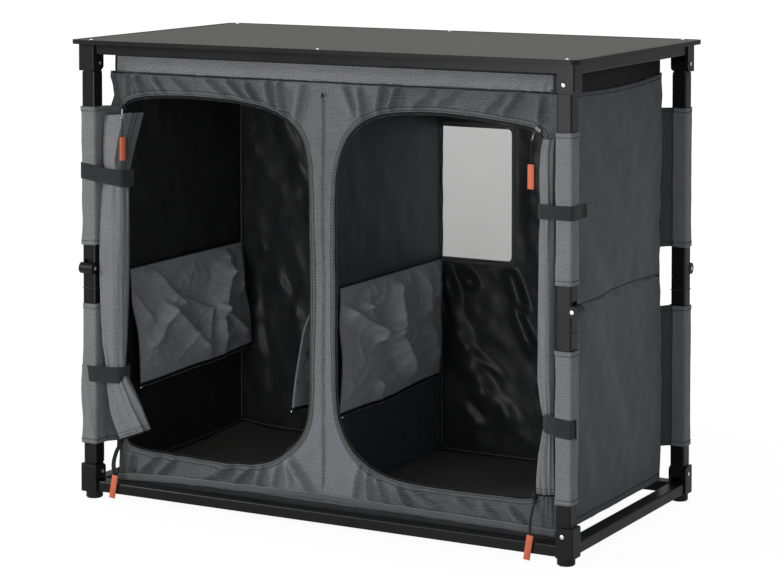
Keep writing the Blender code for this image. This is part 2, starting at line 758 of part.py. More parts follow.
def door_roll_mesh(side, end_lean, bottom_slope):
    """Door rolled up against the leg, pinched at its two straps; its loose ends lean to the door."""
    leg_face = BODY_HALF_WIDTH + BODY_INSET - SLEEVE - SLEEVE_GAP
    beside_leg = leg_face + GAP - ROLL_HALF_WIDTH
    stations = 16
    sides = 18
    bm = bmesh.new()
    rings = []
    for i in range(stations):
        part = i / (stations - 1)
        height = ROLL_TOP + (ROLL_BOTTOM - ROLL_TOP) * part
        lean = end_lean * (ramp(height, UPPER_STRAP, ROLL_TOP) + ramp(height, LOWER_STRAP, ROLL_BOTTOM))
        pinch = 0.0045 * math.exp(-((height - UPPER_STRAP) / 0.035) ** 2)
        pinch += 0.0065 * math.exp(-((height - LOWER_STRAP) / 0.030) ** 2)
        narrow = pinch + 0.006 * ramp(height, UPPER_STRAP, ROLL_TOP) + 0.0012 * (1 + math.sin(11 * part))
        half_depth = ROLL_HALF_DEPTH - pinch * 0.6 - 0.0008 * (1 + math.sin(17 * part))
        centre = Vector((beside_leg - lean, -BODY_HALF_DEPTH - 2 * GAP - half_depth, height))
        slope = bottom_slope * ramp(height, LOWER_STRAP, ROLL_BOTTOM)
        points = roll_ring(centre, ROLL_HALF_WIDTH - narrow, half_depth, slope, sides)
        rings.append([bm.verts.new(point) for point in points])
    loops = []
    for ring in rings:
        loops.append([bm.edges.new((ring[i], ring[(i + 1) % sides])) for i in range(sides)])
    for upper, lower in zip(loops, loops[1:]):
        bmesh.ops.bridge_loops(bm, edges=upper + lower)
    bm.faces.new(rings[0])
    bm.faces.new(rings[-1])
    bmesh.ops.scale(bm, vec=(side, 1, 1), verts=bm.verts)
    return take_mesh(shape_from(bm))


# Zip pulls, in the frame of their slider's eye

def cord_shape(points):
    curve = bpy.data.curves.new("cord", "CURVE")
    curve.dimensions = "3D"
    curve.bevel_depth = CORD_RADIUS
    curve.bevel_resolution = 2
    curve.use_fill_caps = True
    spline = curve.splines.new("POLY")
    spline.points.add(len(points) - 1)
    for spot, point in zip(spline.points, points):
        spot.co = (*point, 1.0)
    item = bpy.data.objects.new("cord", curve)
    bpy.context.scene.collection.objects.link(item)
    graph = bpy.context.evaluated_depsgraph_get()
    mesh = bpy.data.meshes.new_from_object(item.evaluated_get(graph))
    bpy.data.objects.remove(item, do_unlink=True)
    bm = bmesh.new()
    bm.from_mesh(mesh)
    bmesh.ops.remove_doubles(bm, verts=bm.verts, dist=0.00001)
    return shape_from(bm)


def zip_pull_mesh(route):
    """Pull cord and flat tab; route goes from the slider's eye to the tab's top."""
    end = Vector(route[-1])
    inside_tab = end - Vector((0, 0, TAB_THICKNESS))
    body = cord_shape([Vector(point) for point in route] + [inside_tab])
    outline = rounded_rectangle((-TAB_WIDTH / 2, -TAB_LENGTH), (TAB_WIDTH / 2, 0), TAB_THICKNESS / 2, 2)
    tab = prism(outline, -TAB_THICKNESS / 2, TAB_THICKNESS / 2, "y")
    tab.data.transform(Matrix.Translation(end))
    add(body, tab)
    return take_mesh(body)


# Sleeves round the legs, in the leg frame

def sleeve_mesh(low, high):
    """Cloth loop round the leg, drawn out to the corner of the cloth body."""
    inner = HALF_TUBE + SLEEVE_GAP
    outer = inner + SLEEVE
    tail = HALF_TUBE + BODY_INSET - GAP / math.sqrt(2)
    half = SLEEVE / 2
    fold = 0.0006
    outline = [
        (-outer, -outer + fold), (-outer + fold, -outer), (outer - fold, -outer), (outer, -outer + fold),
        (outer, outer - fold), (outer - fold, outer),
        (-outer + SLEEVE, outer), (-tail + half, tail + half), (-tail - half, tail - half), (-outer, outer - SLEEVE),
    ]
    body = prism(outline, low, high)
    cut(body, prism(square_outline(inner, inner, TUBE_CORNER - GAP), low - TUBE, high + TUBE))
    return take_mesh(body)


# Assembly

def build_bottom_frame():
    bracket = bottom_bracket_mesh()
    for corner in CORNERS:
        node("bottom_bracket_" + corner, bracket, "black_moulding", place=corner_frame(corner))
    for name, middle, turn, length in rail_runs():
        place = Matrix.Translation(middle + Vector((0, 0, RAIL_BOTTOM))) @ Matrix.Rotation(turn, 4, "Z")
        node("bottom_rail_" + name, rail_mesh(length), "satin_black_tube", place=place)
    node("floor_panel", floor_mesh(), "black_lining")


def build_legs():
    """Lower and upper halves of the four legs; returns the joint of the top on the front-right leg."""
    lower_tube = leg_mesh(LOWER_PIN, 1)
    upper_tube = leg_mesh(UPPER_PIN, -1)
    knee_upper = knee_upper_mesh()
    knee_lower = knee_lower_mesh()
    lower_sleeve = sleeve_mesh(LOWER_PIN + SLEEVE_LOWER_FROM_BRACKET, KNEE_HEIGHT - SLEEVE_LOWER_FROM_KNEE)
    upper_sleeve = sleeve_mesh(KNEE_HEIGHT + SLEEVE_FROM_KNEE, UPPER_PIN - SLEEVE_FROM_BRACKET)
    top_joint = None
    for corner in CORNERS:
        lower = empty("lower_pivot_" + corner, corner_frame(corner) @ Matrix.Translation((0, 0, LOWER_PIN)))
        knee = empty("knee_pivot_" + corner, Matrix.Translation((KNEE_PIN_X, 0, KNEE_HEIGHT - LOWER_PIN)), lower)
        from_lower = Matrix.Translation((0, 0, -LOWER_PIN))
        from_knee = Matrix.Translation((-KNEE_PIN_X, 0, -KNEE_HEIGHT))
        node("lower_leg_" + corner, lower_tube, "satin_black_tube", lower, from_lower)
        node("knee_lower_" + corner, knee_lower, "black_moulding", lower, from_lower)
        node("lower_sleeve_" + corner, lower_sleeve, "grey_cloth", lower, from_lower)
        node("upper_leg_" + corner, upper_tube, "satin_black_tube", knee, from_knee)
        node("knee_upper_" + corner, knee_upper, "black_moulding", knee, from_knee)
        node("upper_sleeve_" + corner, upper_sleeve, "grey_cloth", knee, from_knee)
        if corner == "fr":
            rise = Matrix.Translation((-KNEE_PIN_X, 0, UPPER_PIN - KNEE_HEIGHT))
            top_joint = empty("top_pivot_fr", rise, knee)
    return top_joint


def build_top(top_joint):
    """Everything that comes down with the table top, carried at the front-right leg's upper pin."""
    x, y, _turn = CORNERS["fr"]
    to_world = Matrix.Translation((-x, -y, -UPPER_PIN))
    bracket = top_bracket_mesh()
    for corner in CORNERS:
        node("top_bracket_" + corner, bracket, "black_moulding", top_joint, to_world @ corner_frame(corner))
    for name, middle, turn, length in rail_runs():
        place = Matrix.Translation(middle + Vector((0, 0, TOP_RAIL_BOTTOM))) @ Matrix.Rotation(turn, 4, "Z")
        node("top_rail_" + name, rail_mesh(length), "satin_black_tube", top_joint, to_world @ place)
    node("table_board", table_board_mesh(), "coated_board", top_joint, to_world)
    node("table_edging", table_edging_mesh(), "dark_edging", top_joint, to_world)
    node("top_band", top_band_mesh(), "grey_cloth", top_joint, to_world)


def build_body():
    node("front_panel", front_panel_mesh(), "grey_cloth")
    node("back_wall", back_wall_mesh(), "dark_cloth")
    node("left_wall", side_wall_mesh(-1), "dark_cloth")
    node("right_wall", side_wall_mesh(1), "dark_cloth")
    node("partition", partition_mesh(), "black_lining")
    node("window_net", window_mesh(), "window_mesh")
    node("door_roll_left", door_roll_mesh(-1, LEFT_ROLL_LEAN, LEFT_ROLL_SLOPE), "grey_cloth")
    node("door_roll_right", door_roll_mesh(1, RIGHT_ROLL_LEAN, RIGHT_ROLL_SLOPE), "grey_cloth")


def build_shelves():
    near_post = CLOTH / 2
    for name, x, side in (
        ("shelf_left_wall", -ROOM_HALF_WIDTH, 1),
        ("shelf_partition_left", -near_post, -1),
        ("shelf_partition_right", near_post, 1),
        ("shelf_right_wall", ROOM_HALF_WIDTH, -1),
    ):
        hinge = empty(name + "_seam", Matrix.Translation((x, 0, SHELF_SEAM_HEIGHT)))
        node(name, half_shelf_mesh(side), "dark_cloth", hinge)


def pull_route(over, drop):
    """Cord from the eye, forward over the cloth or rail by over, then down to the tab."""
    return [(0, CORD_RADIUS, 0), (0, over * 0.5, -drop * 0.08), (0, over, -drop * 0.4), (0, over, -drop)]


def beside_door(angle_deg):
    """Point on the front panel just outside the round upper corner at a door's hinge side."""
    edge = BODY_HALF_WIDTH - DOOR_HINGE_STRIP
    angle = math.radians(angle_deg)
    reach = DOOR_HINGE_TOP_ROUND + SLIDER_MARGIN
    across = edge - DOOR_HINGE_TOP_ROUND + reach * math.cos(angle)
    return across, DOOR_TOP - DOOR_HINGE_TOP_ROUND + reach * math.sin(angle)


def build_zip_pulls():
    """Pulls at the ends of both door zips; the lower ones hang over the front rail."""
    eye = -BODY_HALF_DEPTH - GAP - CORD_RADIUS
    roll_front = -BODY_HALF_DEPTH - 4 * GAP - 2 * ROLL_HALF_DEPTH
    over_roll = roll_front - TAB_THICKNESS / 2 - eye
    over_rail = -HALF_DEPTH - GAP - TAB_THICKNESS / 2 - eye
    edge = BODY_HALF_WIDTH - DOOR_HINGE_STRIP
    left_x, left_z = beside_door(34)
    right_x, right_z = beside_door(45)
    low_right_x = edge - DOOR_HINGE_BOTTOM_ROUND - SLIDER_MARGIN
    for name, x, z, over, drop in (
        ("zip_pull_top_left", -left_x, left_z, over_roll, TOP_LEFT_DROP),
        ("zip_pull_bottom_left", -edge - SLIDER_MARGIN, DOOR_BOTTOM + SLIDER_MARGIN, over_rail, BOTTOM_LEFT_DROP),
        ("zip_pull_top_right", right_x, right_z, over_roll, TOP_RIGHT_DROP),
        ("zip_pull_bottom_right", low_right_x, DOOR_BOTTOM - SLIDER_MARGIN, over_rail, BOTTOM_RIGHT_DROP),
    ):
        hinge = empty(name + "_eye", Matrix.Translation((x, eye, z)))
        node(name, zip_pull_mesh(pull_route(over, drop)), "orange_tab", hinge)


def build():
    clear_scene()
    build_bottom_frame()
    top_joint = build_legs()
    build_top(top_joint)
    build_body()
    build_shelves()
    build_zip_pulls()


build()
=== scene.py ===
"""Looks of the folding camping cupboard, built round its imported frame.

Metres, in the frame of the solids: X to the right, Y to the back, Z up. The cupboard's front faces -Y.
"""
import math

import bmesh
import bpy
from mathutils import Matrix, Vector, noise


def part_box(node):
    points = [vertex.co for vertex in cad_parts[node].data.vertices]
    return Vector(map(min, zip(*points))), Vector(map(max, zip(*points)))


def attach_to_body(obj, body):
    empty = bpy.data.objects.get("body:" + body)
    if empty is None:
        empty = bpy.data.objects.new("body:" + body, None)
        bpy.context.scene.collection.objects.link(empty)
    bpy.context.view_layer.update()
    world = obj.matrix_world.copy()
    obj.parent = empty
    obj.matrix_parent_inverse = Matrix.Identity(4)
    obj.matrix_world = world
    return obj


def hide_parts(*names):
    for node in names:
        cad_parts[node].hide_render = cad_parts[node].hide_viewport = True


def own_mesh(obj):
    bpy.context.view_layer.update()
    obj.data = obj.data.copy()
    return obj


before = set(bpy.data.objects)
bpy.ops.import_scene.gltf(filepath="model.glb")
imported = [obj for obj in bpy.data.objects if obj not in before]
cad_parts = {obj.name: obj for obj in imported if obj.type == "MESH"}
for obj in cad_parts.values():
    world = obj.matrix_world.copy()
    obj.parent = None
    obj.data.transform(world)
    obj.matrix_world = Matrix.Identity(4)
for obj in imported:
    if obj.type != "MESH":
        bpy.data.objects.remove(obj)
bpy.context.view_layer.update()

# Places read from the solids
PANEL_LOW, PANEL_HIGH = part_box("front_panel")
BODY_X = PANEL_HIGH.x
FRONT_Y = PANEL_LOW.y
BACK_Y = -PANEL_LOW.y
WALL_LOW = PANEL_LOW.z + 0.002
WALL_TOP = PANEL_HIGH.z
BAND_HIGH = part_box("top_band")[1]
LEG_LOW, LEG_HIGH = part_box("lower_leg_fr")
HALF_TUBE = (LEG_HIGH.y - LEG_LOW.y) / 2
LEG_X = LEG_HIGH.x - HALF_TUBE
LEG_Y = LEG_HIGH.y - HALF_TUBE
TABLE_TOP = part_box("table_board")[1].z
SHELF_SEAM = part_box("shelf_left_wall")[1].z
LOWER_PIN = LEG_LOW.z + HALF_TUBE
UPPER_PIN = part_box("upper_leg_fr")[1].z - HALF_TUBE
KNEE_PIN = (LOWER_PIN + UPPER_PIN) / 2

# The leg frame has x outwards and y along the hinge pins, and is turned at each corner
CORNERS = {
    "fr": (LEG_X, LEG_Y, 0.0),
    "rr": (LEG_X, -LEG_Y, math.pi / 2),
    "rl": (-LEG_X, -LEG_Y, math.pi),
    "fl": (-LEG_X, LEG_Y, -math.pi / 2),
}

# Numbers of the second and third cloth in a piece whose cloths each have their lining after them
SECOND, THIRD = 2, 4

# Thickness of the cloth, pitch of its yarns and length from stitch to stitch
CLOTH = 0.0009
YARN = 0.0016
STITCH = 0.0052

# The front's middle seam, points round a doorway and a roll, teeth of a zip, points across a sleeve, and the distance
# from a doorway's edge of the rows of the turned hem and its threads
SEAM_X = -0.006
DOOR_POINTS = 640
ROLL_POINTS = 112
ZIP_TEETH = 780
SLEEVE_POINTS = 85
HEM_ROWS = (0.0, 0.0012, 0.0026, 0.0044, 0.0066, 0.0084, 0.01)
HEM_THREADS = (0.0026, 0.0084)


def metres(values):
    return [value / 1000 for value in values]


def lines_of(rows):
    """Rows, whose first four numbers are given in millimetres."""
    return [(*metres(row[:4]), *row[4:]) for row in rows]


# The doorways' edges, as x and z in millimetres
DOOR_LEFT = (
    (-29, 400), (-29, 500), (-30.5, 575), (-38, 628), (-56, 662), (-85, 684), (-125, 697), (-170, 703.5),
    (-225, 706.5), (-285, 707.5), (-340, 705), (-383, 698), (-403.5, 685), (-408.5, 655), (-409, 600), (-409, 500),
    (-409, 400), (-409, 300), (-409, 200), (-408.5, 130), (-402.5, 98), (-375, 87.5), (-330, 85.5), (-285, 84.5),
    (-235, 83), (-180, 83.5), (-136, 87.5), (-100, 98.5), (-68, 121), (-43, 151), (-31, 190), (-28.5, 245),
    (-29, 320),
)
DOOR_RIGHT = (
    (17.5, 400), (17.5, 500), (18.5, 575), (26, 620), (43, 654), (70, 679), (105, 693.5), (155, 700), (214, 701.5),
    (275, 698.5), (335, 692.5), (375, 686.5), (397.5, 674), (403.5, 645), (404.5, 590), (404.5, 500), (404.5, 400),
    (404.5, 300), (404.5, 200), (403.5, 130), (396, 101), (370, 89.5), (320, 88), (270, 87), (220, 87), (178, 88),
    (138, 91), (100, 99), (66, 117), (42, 141), (25, 178), (19.5, 230), (18, 310),
)
# Folds of the front cloth: from (x, z) at the doorway to (x, z) at the border, height and width
FRONT_FOLDS = lines_of((
    (-397, 704, -395, 740, 1, 1), (-362, 705, -373, 739, 1, 0.8), (-378, 703, -383, 720, 0.6, 0.5),
    (-339, 707, -344, 716, 0.5, 0.5), (-316, 710, -341, 736, 0.8, 0.8), (-269, 712, -303, 737, 0.7, 1.5),
    (-197, 712, -233, 736, 0.8, 1.5), (-150, 704, -191, 737, 1, 1), (-132, 702, -153, 732, 1, 0.9),
    (-103, 695, -112, 741, 1.1, 0.9), (-81, 684, -87, 740, 1.4, 0.8), (-57, 676, -42, 735, 1, 1.1),
    (56, 690, 36, 740, 1, 1.2), (72, 682, 66, 731, 1.1, 0.9), (101, 696, 110, 743, 1.3, 0.9),
    (124, 702, 138, 742, 1.2, 0.9), (165, 707, 206, 741, 1, 1.4), (211, 717, 248, 739, 0.7, 1.3),
    (297, 708, 328, 734, 0.8, 1.2), (331, 706, 358, 740, 1, 1), (391, 696, 398, 741, 0.8, 0.8),
    (-387, 77, -397, 44, 0.8, 0.8), (-334, 81, -369, 50, 1, 1.1), (-298, 81, -338, 44, 0.8, 1),
    (-189, 80, -249, 45, 0.8, 1.3), (-186, 78, -209, 62, 0.8, 1), (-145, 82, -179, 53, 0.9, 0.9),
    (-122, 84, -133, 48, 1.1, 0.9), (-89, 96, -99, 55, 1.1, 0.9), (-77, 100, -65, 43, 0.6, 0.7),
    (-66, 106, -20, 44, 1.4, 1.1), (66, 105, 57, 52, 1.2, 0.9), (82, 99, 87, 47, 1.2, 0.8),
    (101, 89, 115, 51, 1.2, 0.8), (140, 83, 158, 51, 1.2, 1), (164, 80, 229, 47, 1, 1.1), (247, 76, 301, 49, 0.9, 1),
    (295, 71, 331, 43, 1, 1), (342, 74, 372, 47, 1, 0.9), (402, 100, 399, 45, 0.7, 0.35),
    (409, 100, 408, 45, 0.7, 0.35), (416, 100, 417, 45, 0.7, 0.35),
))
# The same for the back wall as seen from inside, and for the side walls, as y and z
BACK_FOLDS = lines_of((
    (-1, 374, -1, 261, 0.75, 0.6), (8, 385, 50, 268, 1.2, 0.8), (46, 385, 70, 349, 1.2, 0.7),
    (20, 280, 94, 160, 1.12, 1.3), (88, 168, 138, 114, 0.9, 1.2), (56, 236, 112, 196, 0.6, 0.4),
    (138, 385, 165, 320, 1.35, 0.8), (151, 307, 189, 240, 0.9, 0.7), (50, 130, 78, 97, 0.6, 0.8),
    (190, 550, 215, 330, 0.9, 1.2), (260, 620, 300, 250, 1.05, 1.3), (340, 600, 330, 150, 0.9, 1.2),
    (-330, 640, -255, 440, 0.68, 1), (-385, 400, -372, 380, 0.63, 0.4), (-340, 330, -300, 260, 0.54, 0.7),
    (-260, 420, -225, 330, 0.45, 0.6), (-395, 300, -375, 120, 0.45, 1), (-290, 220, -240, 100, 0.54, 1),
    (-180, 600, -150, 300, 0.59, 1.2), (-100, 620, -60, 250, 0.54, 1.2), (-150, 250, -80, 120, 0.5, 1),
))
SIDE_FOLDS = lines_of((
    (-160, 710, 20, 480, 0.8, 1), (0, 720, 150, 450, 0.9, 1.1), (-120, 370, 60, 110, 0.9, 1),
    (60, 370, 180, 90, 0.8, 0.9), (-170, 300, -90, 70, 0.7, 0.8), (-180, 560, -60, 410, 0.7, 0.8),
    (100, 730, 190, 600, 0.7, 0.8), (-60, 150, 20, 50, 0.6, 0.7),
))
# The front's foot, as x and height of the hem's upper edge
HEM_LINE = ((-0.424, 0.04), (-0.3, 0.0475), (0.0, 0.053), (0.1, 0.0505), (0.37, 0.047), (0.424, 0.0455))
# The body's left front edge, as height and how far it stands out
LEFT_EDGE = (
    (0.036, -0.008), (0.095, -0.0088), (0.12, -0.007), (0.16, 0.0), (0.64, 0.0), (0.66, 0.002), (0.684, 0.0034),
    (0.702, -0.003), (0.72, 0.0002), (0.735, 0.0045), (0.746, 0.002),
)
# Creases of the half shelves, as shares from the front to the back and from the seam down
LEFT_CREASES = (
    (0.85, 0, 0.81, 0.22, 0.8, 0.8), (0.81, 0.22, 0.71, 0.55, 1.4, 1), (0.71, 0.58, 0.74, 0.98, 0.9, 0.7),
    (0.74, 0.56, 0.99, 0.93, 0.9, 0.7), (0.97, 0.05, 0.93, 0.45, 0.9, 0.6), (0.3, 0.42, 0.62, 0.95, 0.9, 1.2),
    (0.3, 0.42, 0.13, 0.68, 0.7, 0.8), (0.18, 0.05, 0.42, 0.42, 0.6, 1.1), (0.62, 0.55, 0.58, 0.85, 0.6, 0.7),
    (0.4, 0.35, 0.64, 0.52, 0.5, 0.8), (0.9, 0.1, 0.86, 0.3, 0.5, 0.4), (0.02, 0.2, 0.12, 0.45, 0.4, 0.8),
)
RIGHT_CREASES = (
    (0.5, 0.05, 0.5, 0.45, 1, 0.9), (0.52, 0.48, 0.68, 0.88, 0.9, 0.9), (0.02, 0.14, 0.36, 0.42, 0.8, 0.8),
    (0.22, 0.18, 0.36, 0.42, 0.6, 0.5), (0.34, 0.5, 0.48, 0.42, 0.6, 0.6), (0.8, 0.05, 0.84, 0.4, 0.7, 0.5),
    (0.37, 0.85, 0.4, 1, 0.7, 0.7), (0.42, 0.05, 0.36, 0.2, 0.5, 0.4), (0.6, 0.1, 0.52, 0.35, 0.6, 0.6),
    (0.75, 0.02, 0.8, 0.2, 0.5, 0.4), (0.95, 0.1, 0.93, 0.3, 0.5, 0.4), (0.26, 0.05, 0.22, 0.22, 0.5, 0.4),
    (0.88, 0.55, 0.95, 0.85, 0.5, 0.8), (0.3, 0.03, 0.33, 0.13, 0.4, 0.3), (0.66, 0.02, 0.63, 0.15, 0.4, 0.3),
)
# Rolled doors: height of the middle, left and right side, front, and slope of the ring
ROLLS = {
    "left": lines_of((
        (672, -431, -356, -235, 0.1), (655, -432, -360, -240, 0.05), (625, -432, -368, -245, 0),
        (590, -432, -377, -246, 0), (566, -431, -383, -243, 0), (535, -436, -383, -246, 0),
        (450, -438, -384, -249, 0), (345, -438, -386, -249, 0), (270, -436, -389, -247, 0),
        (222, -431, -393, -240, 0), (195, -428, -376, -243, 0.12), (160, -418, -357, -246, 0.26),
        (117, -399, -338, -242, 0.38),
    )),
    "right": lines_of((
        (672, 407, 429, -236, 0), (655, 405.5, 429.5, -243, 0), (620, 403.5, 430, -246, 0),
        (558, 403.5, 429.5, -243, 0), (520, 402.5, 430.5, -247, 0), (400, 402, 431, -249, 0),
        (290, 402, 431, -248, 0), (250, 406, 430, -244, 0), (222, 412, 429, -239, 0), (205, 408, 429, -241, 0),
        (170, 402, 431.5, -245, 0), (130, 398.5, 433, -246, 0), (108, 397.5, 433.5, -244, 0),
    )),
}
STRAPS_ON = (0.564, 0.22)


# Materials

def attach(tree, target, value):
    if isinstance(value, Signal):
        tree.links.new(value.socket, target)
    else:
        target.default_value = value


class Signal:
    """An output socket; arithmetic on it adds the Math nodes."""

    def __init__(self, tree, socket):
        self.tree = tree
        self.socket = socket

    def math(self, operation, *values):
        step = self.tree.nodes.new("ShaderNodeMath")
        step.operation = operation
        for target, value in zip(step.inputs, values):
            attach(self.tree, target, value)
        return Signal(self.tree, step.outputs[0])

    def __add__(self, other):
        return self.math("ADD", self, other)

    __radd__ = __add__

    def __sub__(self, other):
        return self.math("SUBTRACT", self, other)

    def __rsub__(self, other):
        return self.math("SUBTRACT", other, self)

    def __mul__(self, other):
        return self.math("MULTIPLY", self, other)

    __rmul__ = __mul__

    def sine(self):
        return self.math("SINE", self)

    def size(self):
        return self.math("ABSOLUTE", self)

    def clipped(self):
        return self.math("MINIMUM", self.math("MAXIMUM", self, 0.0), 1.0)


class Finish:
    """A material with its Principled shader and the nodes that feed it."""

    def __init__(self, name, colour, roughness, **constants):
        self.material = bpy.data.materials.new(name)
        self.material.use_nodes = True
        self.tree = self.material.node_tree
        self.shader = self.tree.nodes["Principled BSDF"]
        self.colour = colour
        self.feed("Base Color", (*colour, 1.0))
        self.feed("Roughness", roughness)
        for socket, value in constants.items():
            self.feed(socket.replace("_", " "), value)

    def feed(self, socket, value):
        attach(self.tree, self.shader.inputs[socket], value)

    def node(self, kind, settings, inputs, output=0):
        step = self.tree.nodes.new("ShaderNode" + kind)
        for name, value in settings.items():
            setattr(step, name, value)
        for name, value in inputs.items():
            attach(self.tree, step.inputs[name], value)
        return Signal(self.tree, step.outputs[output])

    def place(self):
        return self.node("TexCoord", {}, {}, "Object")

    def weave_place(self):
        return self.node("UVMap", {"uv_map": "weave"}, {})

    def parts(self, vector):
        split = self.tree.nodes.new("ShaderNodeSeparateXYZ")
        attach(self.tree, split.inputs[0], vector)
        return [Signal(self.tree, output) for output in split.outputs]

    def cloud(self, vector, scale, detail=3.0, roughness=0.55):
        """Noise; a scale of three numbers stretches it."""
        if isinstance(scale, tuple):
            vector = self.node("Mapping", {}, {"Vector": vector, "Scale": scale})
            scale = 1.0
        wanted = {"Vector": vector, "Scale": scale, "Detail": detail, "Roughness": roughness}
        return self.node("TexNoise", {}, wanted)

    def done(self, tint=None, roughness=None, relief=None):
        """The material; tint is a share and its ends' levels, and relief a height, strength and distance."""
        if tint:
            share, *levels = tint
            dark, light = [(*(channel * level for channel in self.colour), 1.0) for level in levels]
            mixed = self.node("Mix", {"data_type": "RGBA"}, {0: share, 6: dark, 7: light}, 2)
            self.feed("Base Color", mixed)
        if roughness:
            self.feed("Roughness", roughness.clipped())
        if relief:
            height, strength, distance = relief
            bump = self.node("Bump", {}, {"Height": height, "Strength": strength, "Distance": distance})
            self.feed("Normal", bump)
        return self.material


def waves(signal, pitch):
    return (signal * (2 * math.pi / pitch)).sine()


def woven(name, colour, heather, rib, roughness=0.85, painted_post_light=0.0):
    """Woven cloth: crossed yarns in relief, flecked yarns, ribs along the weft and rubbed spots; its last argument adds
    painted light on the front's middle post, stronger low down, and painted shade on the cloth away from it.
    """
    cloth = Finish(name, colour, roughness, Sheen_Weight=0.2, Sheen_Roughness=0.5, Specular_IOR_Level=0.2)
    flat = cloth.weave_place()
    across, up, _depth = cloth.parts(flat)
    yarns = waves(across, YARN).size() + waves(up, YARN).size()
    fleck = cloth.cloud(flat, (300.0, 460.0, 1.0), 1.0, 0.5)
    slub = cloth.cloud(flat, (30.0, 300.0, 1.0), 2.0, 0.6)
    ribs = waves(up, 0.004)
    worn = cloth.cloud(flat, 9.0, 3.0, 0.6)
    tone = (fleck - 0.5) * heather + (slub - 0.5) * 0.35 + (worn - 0.5) * 0.25 + ribs * rib + 0.5
    if painted_post_light:
        # Painted light on the middle post, stronger on its lower half, and painted shade on the cloth away from the
        # post
        across, _deep, up = cloth.parts(cloth.place())
        post = (1.0 - ((across - SEAM_X).size() - 0.075) * 14.0).clipped()
        tone = tone + (post - 1.0) * painted_post_light + (post * (0.55 - up).clipped() * 0.6)
    relief = yarns * 0.25 + fleck * 0.5 + ribs * rib * 2.0
    return cloth.done((tone.clipped(), 0.4, 1.6), worn * 0.16 + (roughness - 0.08), (relief, 0.5, 0.0004))


def coated(name, colour, roughness, crinkle, specular=0.25):
    """Coated lining: nearly black, slightly glossy, with fine crinkles."""
    lining = Finish(name, colour, roughness, Specular_IOR_Level=specular)
    flat = lining.weave_place()
    long = lining.node("Mapping", {}, {"Vector": flat, "Scale": (20.0, 8.0, 1.0)})
    creases = lining.node("TexVoronoi", {"feature": "DISTANCE_TO_EDGE"}, {"Vector": long, "Scale": 1.0})
    soft = lining.cloud(flat, 34.0, 4.0, 0.6)
    relief = creases * (-0.35) + soft + lining.cloud(flat, 900.0, 1.0) * 0.02
    return lining.done((soft, 0.6, 1.5), soft * 0.24 + (roughness - 0.12), (relief, crinkle, 0.003))


def painted(name, colour, roughness, grain_size, metallic=0.0, specular=0.2):
    """Powder paint or moulded plastic: fine grain with rubbed spots."""
    paint = Finish(name, colour, roughness, Metallic=metallic, Specular_IOR_Level=specular)
    spot = paint.place()
    grain = paint.cloud(spot, grain_size, 2.0)
    wear = paint.cloud(spot, 14.0, 4.0, 0.65)
    return paint.done((wear, 0.75, 1.3), wear * 0.2 + (roughness - 0.1), (grain, 0.12, 0.0002))


def board_finish():
    """Coated board with a fine grain and faint scuffs."""
    board = Finish("coated_board", (0.103, 0.102, 0.099), 0.55, Specular_IOR_Level=0.3)
    spot = board.place()
    grain = board.cloud(spot, 1500.0, 2.0)
    scuffs = board.cloud(spot, (8.0, 20.0, 1.0), 5.0, 0.6)
    return board.done((grain * 0.4 + scuffs * 0.6, 0.9, 1.1), scuffs * 0.16 + 0.48, (grain, 0.1, 0.0002))


def film_finish():
    """Clear window film, milky from wear, with painted shade that darkens it a little towards its foot."""
    film = Finish("window_film", (0.5, 0.5, 0.497), 0.5, Transmission_Weight=0.9, IOR=1.05)
    spot = film.place()
    _across, _deep, up = film.parts(spot)
    haze = film.cloud(spot, 18.0)
    # Painted shade: the tint darkens the film towards its foot
    return film.done(((haze * 0.3 + (up - 0.394) * 2.9).clipped(), 0.82, 1.1), None, (haze, 0.15, 0.002))


def steel_finish():
    steel = Finish("bright_steel", (0.86, 0.86, 0.85), 0.24, Metallic=1.0)
    scratches = steel.cloud(steel.place(), (900.0, 3000.0, 900.0), 2.0)
    return steel.done(roughness=scratches * 0.16 + 0.16)


def ribbed(name, colour, pitch):
    """Webbing or braided cord: ribs across it, in relief, with a little fluff."""
    web = Finish(name, colour, 0.75, Sheen_Weight=0.2, Specular_IOR_Level=0.2)
    across, up, _depth = web.parts(web.weave_place())
    ribs = waves(up, pitch) * 0.6 + waves(across, YARN) * 0.4
    fluff = web.cloud(web.place(), 60.0)
    return web.done(((fluff + ribs * 0.25).clipped(), 0.6, 1.5), None, (ribs * 0.5 + fluff * 0.4, 0.6, 0.0004))


def tab_finish():
    tab = Finish("orange_tab", (0.66, 0.155, 0.075), 0.55, Specular_IOR_Level=0.3)
    bloom = tab.cloud(tab.place(), 160.0)
    return tab.done((bloom, 0.85, 1.15), bloom * 0.2 + 0.45, (bloom, 0.1, 0.0004))


# The front's grey cloth carries painted light on the middle post and painted shade away from it
GREY_CLOTH = woven("grey_cloth", (0.128, 0.131, 0.139), 0.9, 0.07, painted_post_light=0.26)
EDGE_CLOTH = woven("turned_edge_cloth", (0.098, 0.1, 0.106), 1.0, 0.04)
RIBBED_CLOTH = woven("ribbed_grey_cloth", (0.178, 0.181, 0.188), 0.7, 0.06)
BAND_CLOTH = woven("band_cloth", (0.19, 0.192, 0.199), 1.0, 0.06)
SIDE_CLOTH = woven("side_cloth", (0.097, 0.101, 0.11), 0.6, 0.04)
STRIP_CLOTH = woven("dark_strip_cloth", (0.055, 0.057, 0.062), 0.8, 0.05)
SHELF_CLOTH = woven("shelf_cloth", (0.27, 0.276, 0.29), 0.6, 0.03, 0.6)
LINING = coated("black_lining", (0.018, 0.0186, 0.02), 0.42, 0.35, 0.24)
QUIET_LINING = coated("dull_lining", (0.0205, 0.021, 0.0225), 0.55, 0.25)
FLOOR_LINING = coated("floor_lining", (0.082, 0.077, 0.075), 0.62, 0.1)
BLUE_LINING = coated("blue_black_lining", (0.048, 0.052, 0.061), 0.5, 0.22)
FILM = film_finish()
BOARD = board_finish()
